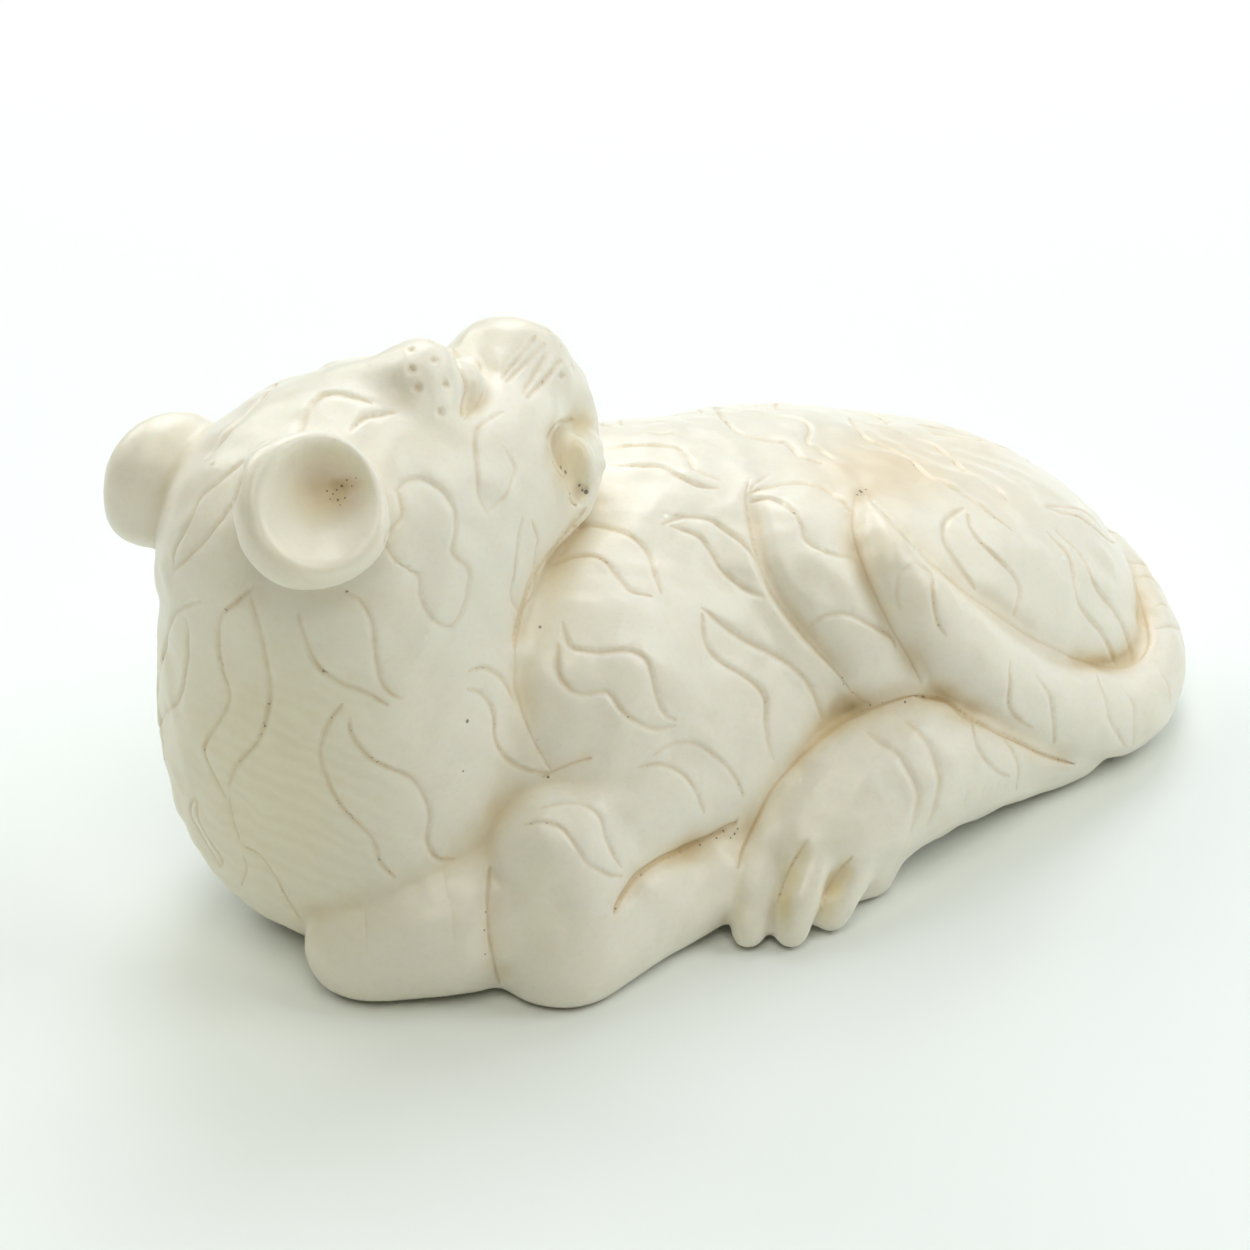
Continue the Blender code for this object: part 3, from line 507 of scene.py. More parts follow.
# old colour in the ivory, and in places painted shade: in the mouth, under the nose, under the near ear, round the brow
# pad and the eye, and in the recesses under the thigh and beside the forepaw; on the neck, old colour with painted
# shade; pixel, radii in pixels, how strong, and which (1 yellow, 2 peach, 3 brown)
PATINA_AND_PAINTED_SHADE = [(240,780,150,210,0.75,1),(200,620,60,60,0.25,1),(885,470,75,36,1.0,2),(945,455,60,30,0.5,2),(1000,500,50,26,0.25,2),(880,545,26,38,0.35,2),(900,600,40,30,0.2,2),(343,485,15,8,1.25,3),(330,488,32,26,0.28,3),(334,490,26,18,0.7,2),(337,498,11,8,0.7,3),
          (1145,600,16,55,0.55,2),(870,690,46,22,0.12,3),(900,690,22,12,0.45,3),(935,692,30,10,0.5,3),(975,716,34,11,0.45,3),(915,660,16,26,0.4,3),(846,668,20,26,0.12,3),(490,930,12,60,0.35,3),(862,495,12,9,0.6,3),(868,520,7,22,0.35,2),(801,854,8,14,1.0,1),(792,876,9,18,1.3,1),(784,904,9,20,1.3,1),(846,870,8,13,1.0,1),(835,888,9,15,1.2,1),(826,908,9,14,1.0,1),(738,895,9,40,0.5,1),(786,900,6,26,0.35,3),(829,900,6,16,0.25,3),(540,900,34,60,0.30,1),(505,950,16,26,0.3,1),
          (554,444,9,22,0.95,3),(564,478,9,16,0.60,3),(578,494,11,10,0.70,3),(583,424,10,11,0.75,3),(583,424,14,15,0.9,1),(573,460,16,40,0.8,1),(561,464,9,28,0.85,3),(404,398,12,14,0.3,2),(466,411,6,9,0.7,3),(470,392,7,20,0.35,3),(870,735,16,10,0.35,2),(906,728,10,10,0.3,2),(700,852,60,12,0.2,3),(1040,750,40,20,0.25,1),(254,592,14,14,0.3,3),(440,440,60,26,0.2,1),
          (360,600,80,14,0.3,2)]

# ------------------------------------------------------------ carving along lines of the photograph
def look_up(T0, u, v):
    i = np.clip(u.astype(int), 0, T0.shape[1]-1); j = np.clip(v.astype(int), 0, T0.shape[0]-1); return T0[j, i]
class Near:
    """The skin that the photograph shows: its voxels, their pixels, and their depth behind the first surface."""
    def __init__(s, G, band=2.3, behind=2.8, cell=4):
        s.G = G; xs, ys = np.arange(60, 1240, cell), np.arange(270, 1060, cell)
        U, W = np.meshgrid(xs+cell/2, ys+cell/2); O, D = photo_rays(np.column_stack([U.ravel(), W.ravel()]))
        P, miss = march(G, O, D); t0 = np.where(miss < 0.05, np.linalg.norm(P-EYE_P, axis=1), np.inf).reshape(U.shape)
        k = np.nonzero(np.abs(G.d).ravel() < band)[0]; n = G.n
        i, j, l = k//(n[1]*n[2]), (k//n[2]) % n[1], k % n[2]
        x, y, z = G.ax[0][i], G.ax[1][j], G.ax[2][l]; px, py, _ = to_px(x, y, z)
        t = np.sqrt((x-EYE_P[0])**2+(y-EYE_P[1])**2+(z-EYE_P[2])**2)
        f = look_up(t0, (px-xs[0])/cell, (py-ys[0])/cell)
        m = t < f+behind; s.k, s.px, s.py, s.mm = k[m], px[m], py[m], t[m]/FOCUS
        s.t = t[m]; s.flat = G.d.reshape(-1)
    def pick(s, L, r):
        return np.nonzero((s.px > L[:, 0].min()-r) & (s.px < L[:, 0].max()+r) & (s.py > L[:, 1].min()-r) & (s.py < L[:, 1].max()+r))[0]
    def along(s, q, L):
        """Distance in mm from the line, side (+ on its left as drawn) and how far along it, 0 to 1."""
        E = np.diff(L, axis=0); ln = np.linalg.norm(E, axis=1); at = np.r_[0, np.cumsum(ln)]/ln.sum(); px, py = s.px[q], s.py[q]
        best = np.full(len(q), 1e9, F32); par = np.zeros(len(q), F32); U = E/ln[:, None]; sg = np.ones(len(q), F32)
        for i in range(len(E)):
            x, y = px-L[i, 0], py-L[i, 1]; tt = np.clip((x*E[i, 0]+y*E[i, 1])/ln[i]**2, 0, 1); dx, dy = x-tt*E[i, 0], y-tt*E[i, 1]
            d = dx*dx+dy*dy; m = d < best
            best[m] = d[m]; par[m] = at[i]+tt[m]*(at[i+1]-at[i]); sg[m] = np.where(U[i, 0]*dy[m]-U[i, 1]*dx[m] < 0, 1, -1)
        return np.sqrt(best)*s.mm[q], sg, par
    def groove(s, line, w, deep, ends=(1, 1), tip=0.12, k=0.08, grow=None):
        """A furrow of half width w; grow=(a, b) widens it from a at its start to b at its end."""
        L = smooth_line(line, 5.0); q = s.pick(L, (w+0.6)*26); d, _, p = s.along(q, L)
        W = w*np.ones_like(p) if grow is None else w*(grow[0]+(grow[1]-grow[0])*p)
        if ends[0]: W = W*np.clip(p/tip+0.15, 0, 1)
        if ends[1]: W = W*np.clip((1-p)/tip+0.15, 0, 1)
        v = s.flat[s.k[q]]; f = (d-W*(1+v/deep))/np.sqrt(1+(w/deep)**2)
        s.flat[s.k[q]] = smax(v, -f, k)
    def slope(s, line, side, drop, width, tip=0.15):
        """Let the skin on one side of a line fall away towards it."""
        L = smooth_line(line, 5.0); q = s.pick(L, width*3*24); d, sg, p = s.along(q, L)
        e = np.clip(np.minimum(p, 1-p)/tip, 0, 1); e = e*e*(3-2*e)
        soft = 1/(1+np.exp(-np.clip(sg*d*side/0.12, -30, 30)))
        s.flat[s.k[q]] += (drop*e*np.exp(-(d/width)**2)*soft).astype(F32)
    def swell(s, at, r, rise):
        """A soft swelling (or, with a negative rise, a dip) round a pixel; r in pixels, one or (x, y)."""
        r = (r, r) if np.isscalar(r) else r; L = np.array([at], float); q = s.pick(L, max(r)*2.2)
        d2 = ((s.px[q]-at[0])/r[0])**2+((s.py[q]-at[1])/r[1])**2
        s.flat[s.k[q]] -= (rise*np.exp(-d2)).astype(F32)
    def pocket(s, poly, deep, lean=0.25, k=0.1):
        """Cut the inside of a closed outline down to a flat bottom; the walls lean in."""
        L = smooth_line(list(poly)+[poly[0]], 4.0); q = s.pick(L, 20); d, sg, _ = s.along(q, L)
        px, py = s.px[q], s.py[q]; inside = np.zeros(len(q), bool)
        for a, b in zip(L[:-1], L[1:]):
            c = (a[1] > py) != (b[1] > py)
            with np.errstate(divide='ignore', invalid='ignore'): x = a[0]+(py-a[1])/(b[1]-a[1])*(b[0]-a[0])
            inside ^= c & (px < x)
        xs, ys = np.arange(px.min()-1, px.max()+2), np.arange(py.min()-1, py.max()+2); U, W = np.meshgrid(xs, ys)
        O, D = photo_rays(np.column_stack([U.ravel(), W.ravel()])); P, miss = march(s.G, O, D)
        first = np.where(miss < 0.05, np.linalg.norm(P-EYE_P, axis=1), -99.0).reshape(U.shape)     # a ray that misses cuts nothing
        back = s.t[q]-look_up(first, px-xs[0]+0.5, py-ys[0]+0.5); sd = np.where(inside, -d, d)
        f = smax(sd+lean*np.clip(back, 0, 9), back-deep, 0.12)
        s.flat[s.k[q]] = smax(s.flat[s.k[q]], -f, k)

def flame(cx, cy, angle, length, width, bend=0.25, open_end=False):
    """Two wavy lines that make one stripe: pointed at one end, open or pointed at the other."""
    t = np.linspace(0, 1, 9); c, s = np.cos(np.radians(angle)), np.sin(np.radians(angle)); out = []
    for side in (-1, 1):
        w = width*0.5*np.sin(np.pi*np.clip(t*(0.72 if open_end else 1.0), 0, 1))**0.8*(1+0.25*np.sin(2*np.pi*t+side))
        a = (t-0.5)*length; b = bend*length*0.35*np.sin(2*np.pi*t*0.9+0.6)+side*w
        out.append([(cx+x*c-y*s, cy+x*s+y*c) for x, y in zip(a, b)])
    return out
def stripes(rows, half=0.16, deep=0.12, stain=0.6):
    return [(half, deep, stain, line) for row in rows for line in flame(*row)]
def far_face(p):
    """A view of the far side of the head: forward and up along the head, in mm."""
    p = np.atleast_2d(np.asarray(p, float)); O = np.array([H(f, 9.0, u) for f, u in p]); return O, np.tile(HD(0, -1, 0), (len(O), 1))
def other_cheek(G):
    """A view of the far side of the face: a pixel of the near side, mirrored across the head's middle."""
    def f(px):
        O, D = photo_rays(px); P, miss = march(G, O, D); N = unit(gradient(G, P)); flip = np.diag([1.0, -1.0, 1.0])
        P = HO+((P-HO)@HM)@flip@HM.T; N = (N@HM)@flip@HM.T; N = unit(N+HM@np.array([0.0, 0.35, 0.0]))
        return P+N*2.5, -N
    return f
# the sides that the photograph does not show, plainer: stripes and toe lines in mm of the modelling frame
HIDDEN = {
    'far': stripes([(0.8,12.6,-98,6.0,1.5,0.3,True), (5.2,12.3,-84,6.4,1.6,-0.3,True), (9.6,11.6,-76,6.0,1.5,0.3,True), (14.2,10.2,-66,6.4,1.6,-0.3,True), (18.8,8.2,-60,5.4,1.4,0.3,True),
                    (-3.4,9.6,-100,4.8,1.2,0.3), (10.2,6.4,-52,4.2,1.1,0.3), (15.6,5.2,-44,3.8,1.0,-0.3), (-8.0,10.4,-96,5.2,1.4,0.3,True), (-12.4,9.8,-92,6.0,1.5,-0.3,True), (-17.0,9.4,-88,5.6,1.4,0.3,True),
                    (-9.6,3.4,-80,2.4,0.8,0.3), (-3.2,3.6,-98,2.2,0.8,0.3), (7.4,2.8,-70,2.4,0.8,0.3), (-3.9,18.4,72,2.6,0.8,-0.3), (-10.6,13.9,80,3.6,1.1,-0.3)])
           + [(0.14, 0.13, 0.6, [(1.3,0.5),(1.2,1.3),(1.7,2.1),(2.6,2.6)]), (0.14, 0.13, 0.6, [(2.6,0.5),(2.5,1.2),(3.1,1.9),(3.9,2.3)]), (0.14, 0.13, 0.6, [(3.9,0.5),(3.9,1.1),(4.4,1.7)])],
    'rear': stripes([(-4.2,9.3,92,3.2,0.9,0.3), (3.4,9.6,86,4.4,1.2,-0.3,True), (7.4,8.0,80,3.8,1.0,0.3)])
            + [(0.14, 0.10, 0.5, [(y, 6.2),(y+0.25,5.0),(y+0.05,3.6),(y+0.3,2.3)]) for y in (-4.6, -3.6, -1.2, -0.2, 2.0, 3.0)],
    'front': stripes([(3.4,10.4,82,5.0,1.3,0.3,True), (-1.0,6.4,88,3.6,1.0,0.3), (3.2,4.2,96,2.6,0.8,-0.3)]),
    'top': stripes([(2.4,5.2,96,3.6,1.2,0.3,True), (6.6,6.2,92,3.8,1.2,-0.3,True), (11.4,6.0,88,4.0,1.2,0.3,True), (16.4,5.0,80,3.8,1.2,-0.3,True)])}

MOUTH = [(574,419),(566,422),(557,424),(551,431),(548,442),(550,453),(554,464),(559,473),(564,481),(568,490),(572,502),(577,505),(583,501),(588,493),(590,484),(590,468),(587,450),(583,436),(579,424)]
NOSE_UNDER = [(582,410),(574,417),(570,423),(577,430),(585,438),(591,432),(592,424),(589,416)]
PAD_EDGE = [(453,348),(456,357),(460,367),(464,379),(465,392),(463,406),(464,418)]
MUZZLE_EDGE = [(583,352),(588,365),(589,378),(586,392),(580,404),(568,414),(553,424)]
EYE_EDGE = [(468,355),(474,358),(480,367),(484,382),(482,397),(475,409),(466,417)]
def under(N, px, deep=0.0):
    """The place on the skin under a pixel, moved in along the view by deep mm."""
    O, D = photo_rays([px]); P, _ = march(N.G, O, D); return P[0]+FW*deep
def screen(dx, dy):
    """Axes of a lens whose long axis runs along (dx, dy) of the picture."""
    v = RT*dx-UP*dy; v /= np.linalg.norm(v); return np.stack([np.cross(v, FW), v, -FW], 1)
def soften(G, n=1):
    """Wear the edges a little: neighbouring voxels are averaged along each axis."""
    for _ in range(n):
        for a in range(3):
            lo = [slice(None)]*3; md = [slice(None)]*3; hi = [slice(None)]*3
            lo[a], md[a], hi[a] = slice(0, -2), slice(1, -1), slice(2, None)
            t = G.d[tuple(md)]*0.5+(G.d[tuple(lo)]+G.d[tuple(hi)])*0.25; G.d[tuple(md)] = t
def carve(B):
    G = B.G; N = Near(G, 2.6, 6.0)
    tongue = under(N, (582,458), 0.86); lips = [under(N, (597,443), 0.40), under(N, (599,464), 0.44)]
    N.pocket(MOUTH, 1.35, lean=0.12, k=0.06); N.pocket(NOSE_UNDER, 0.55, lean=0.2)
    B.ell(tongue, (0.50,1.30,0.42), k=0.15, M=screen(18,52)@rot(0,-20,0))
    for p in lips: B.ell(p, (0.31,0.34,0.40), k=0.2, M=screen(0,1))
    N = Near(G)
    N.slope(MUZZLE_EDGE, 1, 0.5, 0.8, tip=0.3)
    N.slope(EYE_EDGE, 1, 0.42, 0.45, tip=0.2); N.slope(PAD_EDGE, 1, 0.5, 0.42, tip=0.1)
    N.swell((858,795), (52,36), -0.16); N.swell((905,790), (34,26), -0.10); N.swell((562,908), (16,26), -0.10)
    N.swell((783,848), (9,14), 0.10); N.swell((406,398), (12,15), -0.10)
    for line, side, drop, width in SLOPES: N.slope(line, side, drop, width)
    for line in TOE_GAPS: N.slope(line, 1, 0.50, 0.50, tip=0.35)
    soften(G, 1)
    B.floor(0, 0.0)

class Skin(Near):
    """The vertices that the photograph shows; the same tools as for voxels, but they push vertices in."""
    def __init__(s, G, V, slack=0.7, cell=2):
        s.G = G; xs, ys = np.arange(80, 1220, cell), np.arange(290, 1040, cell)
        U, W = np.meshgrid(xs+cell/2, ys+cell/2); O, D = photo_rays(np.column_stack([U.ravel(), W.ravel()]))
        P, miss = march(G, O, D); s.depth = np.where(miss < 0.05, np.linalg.norm(P-EYE_P, axis=1), np.inf).reshape(U.shape)
        s.xs, s.ys, s.cell, s.slack = xs, ys, cell, slack; s.look(V)
    def look(s, V):
        px, py, _ = to_px(V[:, 0], V[:, 1], V[:, 2]); t = np.linalg.norm(V-EYE_P, axis=1)
        f = look_up(s.depth, (px-s.xs[0])/s.cell, (py-s.ys[0])/s.cell); m = t < f+s.slack
        s.k, s.px, s.py, s.mm = np.nonzero(m)[0], px[m], py[m], t[m]/FOCUS
    def near(s, lines, reach, n):
        out = np.zeros(n, bool)
        for line in lines:
            L = smooth_line(line, 4.0); q = s.pick(L, reach*26); d, _, _ = s.along(q, L); out[s.k[q[d < reach]]] = True
        return out
    def trace(s, line, w, n, tip=0.06):
        """How near each vertex lies to the line, 1 on it and 0 at w."""
        L = smooth_line(line, 4.0); q = s.pick(L, w*26); d, _, p = s.along(q, L)
        W = w*np.clip(np.minimum(p, 1-p)/tip+0.2, 0, 1); out = np.zeros(n, F32)
        out[s.k[q]] = np.clip(1-d/W, 0, 1); return out

def by_hand(G, V):
    """The slight unevenness that a knife and a polishing cloth leave."""
    x, y, z = V.T; r = np.zeros(len(V))
    for size, rise, (a, b, c) in ((4.6, 0.040, (0.3, 1.1, 2.2)), (2.9, 0.022, (1.7, 0.4, 2.9)), (1.3, 0.007, (2.4, 1.9, 0.2))):
        w = 2*np.pi/size; u = w*(x+0.35*size*np.sin(w*0.61*y+a)); v = w*(y+0.35*size*np.sin(w*0.53*z+b)); t = w*(z+0.35*size*np.sin(w*0.57*x+c))
        r += rise*(np.sin(u)*np.cos(v)+np.sin(v)*np.cos(t)+np.sin(t)*np.cos(u))
    for e in (H(-7.86, -6.3, 2.25), H(-7.7, 5.6, 1.9)): r *= 1-0.85*np.exp(-(np.linalg.norm(V-e, axis=1)/3.9)**6)      # thin rims stay true
    return V+unit(gradient(G, V))*(r*np.clip(z/1.2, 0, 1))[:, None]
def make_tiger():
    B = figure(FINE); carve(B); G = B.G
    V, Q = surface(G); T = triangles(V, Q)
    V = relax(V, T, 3, 0.4); V = settle(G, V, 2)
    cuts = Cuts(); L = lambda rows, half, deep, stain, **kw: [cuts.line(G, photo_rays, r, 1.5, half, deep, stain, **kw) for r in rows]
    L(NECK, 0.18, 0.11, 0.60); L(CRACKS, 0.11, 0.06, 0.6); L(HEAD[:3]+HEAD[5:], 0.17, 0.11, 0.48); L(HEAD[3:5], 0.23, 0.15, 0.50); L(BEAN, 0.18, 0.11, 0.40, ends=(0, 0))
    L(SLIVER, 0.16, 0.11, 0.45); L(BODY, 0.20, 0.13, 0.56); L(THIN, 0.13, 0.07, 0.42); L(LIMBS, 0.17, 0.10, 0.50); L([PAD_EDGE], 0.16, 0.22, 0.8, tip=0.3); L([EYE_EDGE], 0.12, 0.08, 0.3)
    L([MOUTH[0:12]], 0.12, 0.14, 1.0, tip=0.2); L(HEEL, 0.15, 0.11, 0.95); L(TOE_GAPS, 0.12, 0.08, 0.6, tip=0.3)
    L(KNUCKLE, 0.26, 0.12, 0.38); L(FAINT, 0.11, 0.04, 0.25); L(WHISKERS, 0.18, 0.11, 0.50, tip=0.35); L(MARKS, 0.06, 0.03, 0.2, tip=0.15)
    for p in BROW_DOTS: cuts.dot(G, photo_rays, p, 0.23, 0.13, 0.75)
    for p in MUZZLE_DOTS: cuts.dot(G, photo_rays, p, 0.16, 0.10, 0.4)
    cuts.dot(G, photo_rays, (562,376), 0.22, 0.14, 0.7)
    far = other_cheek(G)
    for row in BEAN+[HEAD[4]]+WHISKERS+[MOUTH[1:11]]: cuts.line(G, far, row, 1.5, 0.17, 0.12, 0.45, tip=0.3)
    for p in MUZZLE_DOTS: cuts.dot(G, far, p, 0.17, 0.10, 0.4)
    for p in ((0.0,2.4), (0.95,2.5), (-0.3,3.2), (0.7,3.3), (0.1,4.0), (0.95,4.1)): cuts.dot(G, far_face, p, 0.19, 0.11, 0.5)
    for row, half, deep, stain in (([(1.85,4.3),(2.1,3.4),(2.05,2.5),(1.7,1.7)], 0.15, 0.16, 0.6), ([(3.3,4.0),(4.05,3.4),(4.2,2.6),(3.8,1.8)], 0.12, 0.10, 0.4),
                                   ([(2.9,0.6),(2.0,0.1),(1.6,-0.8),(2.2,-1.7)], 0.15, 0.10, 0.45), ([(2.9,0.6),(3.3,-0.4),(2.9,-1.2),(2.2,-1.7)], 0.15, 0.10, 0.45)):
        cuts.line(G, far_face, row, 0.15, half, deep, stain, tip=0.4)
    for side, rows in HIDDEN.items():
        for half, deep, stain, line in rows: cuts.line(G, flat_view(side), line, 0.15, half, deep, stain, tip=0.7)
    S = cuts.all(); print('cut samples', len(S), 'base', len(V), len(T))
    skin = Skin(G, V); folds = [f[3] for f in FOLDS]
    for reach in (0.5, 0.36):
        idx, dist = nearest(V, S, reach); near = (idx >= 0) | skin.near(folds, reach, len(V))
        V, T = refine(V, T, near[T].any(1)); V = settle(G, V, 2) if reach > 0.4 else V; skin.look(V)
    V = settle(G, V, 1); skin.look(V); V = by_hand(G, V)
    idx, dist = nearest(V, S, 0.5); N = unit(gradient(G, V)); m = idx >= 0; j = idx[m]
    x = dist[m]/S[j, 6]; push = np.zeros(len(V)); push[m] = S[j, 7]*np.maximum(1-x/1.2, 0)**1.1
    for w, deep, stain, line in FOLDS: push = np.maximum(push, deep*skin.trace(line, w*1.3, len(V)))
    V = V-N*push[:, None]
    print('cut mesh', len(V), len(T))
    return G, V, T, S, skin

def mesh_of(name, W, T):
    me = bpy.data.meshes.new(name)
    me.vertices.add(len(W)); me.vertices.foreach_set('co', W.ravel())
    me.loops.add(len(T)*3); me.loops.foreach_set('vertex_index', T.astype(np.int32).ravel())
    me.polygons.add(len(T)); me.polygons.foreach_set('loop_start', np.arange(0, len(T)*3, 3, dtype=np.int32))
    me.update(calc_edges=True); me.validate(); return me
def to_object(name, V, T):
    ob = bpy.data.objects.new(name, mesh_of(name, ((V-CENTRE)*0.001).astype(F32), T))
    bpy.context.scene.collection.objects.link(ob); return ob
def one_shell(me):
    """The mesh without the tiny shells, loose or joined by one edge, that thinning can leave in a crease."""
    W = np.empty(len(me.vertices)*3, F32); me.vertices.foreach_get('co', W); W = W.reshape(-1, 3)
    T = np.empty(len(me.loops), np.int32); me.loops.foreach_get('vertex_index', T); T = T.reshape(-1, 3)
    E = np.sort(T[:, [0, 1, 1, 2, 2, 0]].reshape(-1, 2).astype(np.int64), 1); E = E[:, 0]*len(W)+E[:, 1]
    o = np.argsort(E, kind='stable'); E = E[o]; o = o//3; first = np.flatnonzero(np.append(True, E[1:] != E[:-1]))
    pair = first[np.diff(np.append(first, len(E))) == 2]; root = list(range(len(T)))
    def top(i):
        while root[i] != i: root[i] = root[root[i]]; i = root[i]
        return i
    for a, b in zip(o[pair].tolist(), o[pair+1].tolist()): root[top(b)] = top(a)
    label = np.array([top(i) for i in range(len(T))]); big = label == np.bincount(label).argmax()
    if big.all(): return me
    used, T = np.unique(T[big], return_inverse=True); out = mesh_of(me.name, W[used], T.reshape(-1, 3))
    bpy.data.meshes.remove(me); return out
def thin_out(ob, most):
    n = len(ob.data.polygons)
    if n <= most: return
    d = ob.modifiers.new('thin', 'DECIMATE'); d.ratio = most/n; d.use_collapse_triangulate = True
    bpy.context.view_layer.update()
    me = bpy.data.meshes.new_from_object(ob.evaluated_get(bpy.context.evaluated_depsgraph_get()))
    ob.modifiers.clear(); old = ob.data; ob.data = one_shell(me); bpy.data.meshes.remove(old)

# ------------------------------------------------------------ colour
def blurred(G, r):
    """How much ivory lies round each voxel, within about r mm."""
    A = np.clip(0.5-G.d/(2*G.h), 0, 1).astype(F32); n = max(int(round(r/G.h)), 1)
    for _ in range(2):
        for a in range(3):
            C = np.cumsum(np.moveaxis(A, a, 0), axis=0, dtype=np.float32); C = np.concatenate([np.repeat(C[:1]*0, n+1, 0), C, np.repeat(C[-1:], n, 0)], 0)
            A = np.moveaxis((C[2*n+1:]-C[:-2*n-1])/(2*n+1), 0, a)
    g = G.__class__.__new__(G.__class__); g.lo, g.h, g.n, g.ax, g.d = G.lo, G.h, G.n, G.ax, np.ascontiguousarray(A); return g
def stains_and_painted_shade(ob, G, S, skin):
    """What the material reads at each vertex: dirt in the cuts, painted shade beside the creases and in the hollows,
    old colour and painted shade in patches, a painted contact shadow along the bottom, and the growth lines of the
    neck.
    """
    me = ob.data; V = np.empty(len(me.vertices)*3, F32); me.vertices.foreach_get('co', V); V = V.reshape(-1, 3)*1000.0+CENTRE
    n = len(V); idx, dist = nearest(V, S, 0.5); cut = np.zeros(n, F32); m = idx >= 0; j = idx[m]
    cut[m] = S[j, 8]*np.clip(1.15-dist[m]/(S[j, 6]*0.95), 0, 1)
    skin.look(V); crease = np.zeros(n, F32); old = [np.zeros(n, F32) for _ in range(3)]
    # cut: dirt along each crease line; crease: painted shade in a band about 0.7 mm wide beside it
    for w, deep, stain, line in FOLDS:
        cut = np.maximum(cut, 1.2*stain*skin.trace(line, w*1.5, n)); crease = np.maximum(crease, stain*skin.trace(line, 0.7, n)**1.6)
    # patches of old colour, some of them painted shade in hollows and under overhangs
    for x, y, rx, ry, much, kind in PATINA_AND_PAINTED_SHADE:
        d2 = ((skin.px-x)/rx)**2+((skin.py-y)/ry)**2; a = old[kind-1]; a[skin.k] = np.maximum(a[skin.k], much*np.exp(-d2**1.3))
    # the lower part of the far side is made yellower
    side = np.clip((V[:, 1]-4.0)/5.0, 0, 1)*np.clip((9.0-V[:, 2])/7.0, 0, 1); old[0] = np.maximum(old[0], 0.35*side)
    # painted contact shadow: darker and browner on the lowest 0.45 mm, next to the floor
    painted_contact_shadow = np.clip(1-V[:, 2]/0.45, 0, 1)
    # painted shade in hollows, from how much ivory lies round each vertex within about 0.5 and 1.3 mm; pit also sets
    # the roughness
    pit = sample(blurred(G, 0.5), V)-0.5; painted_broad_hollow_shade = sample(blurred(G, 1.3), V)-0.5
    hatch = np.zeros(n, F32); hatch[skin.k] = np.exp(-(((skin.px-285)/110)**2+((skin.py-800)/130)**2)**2)
    for name, a in (('cut', cut), ('crease', crease), ('pit', pit), ('painted_broad_hollow_shade', painted_broad_hollow_shade), ('yellow', old[0]), ('peach', old[1]), ('brown', old[2]), ('painted_contact_shadow', painted_contact_shadow), ('hatch', hatch)):
        at = me.attributes.new(name, 'FLOAT', 'POINT'); at.data.foreach_set('value', a.astype(F32))

def spot_places(G):
    """Where the specks of dirt sit on the skin, in metres of the object."""
    O, D = photo_rays([(x, y) for x, y, _ in SPECKS]); P, miss = march(G, O, D)
    return [(tuple(float(c) for c in (p-CENTRE)*0.001), s[2]) for p, m, s in zip(P, miss, SPECKS) if m < 0.05]

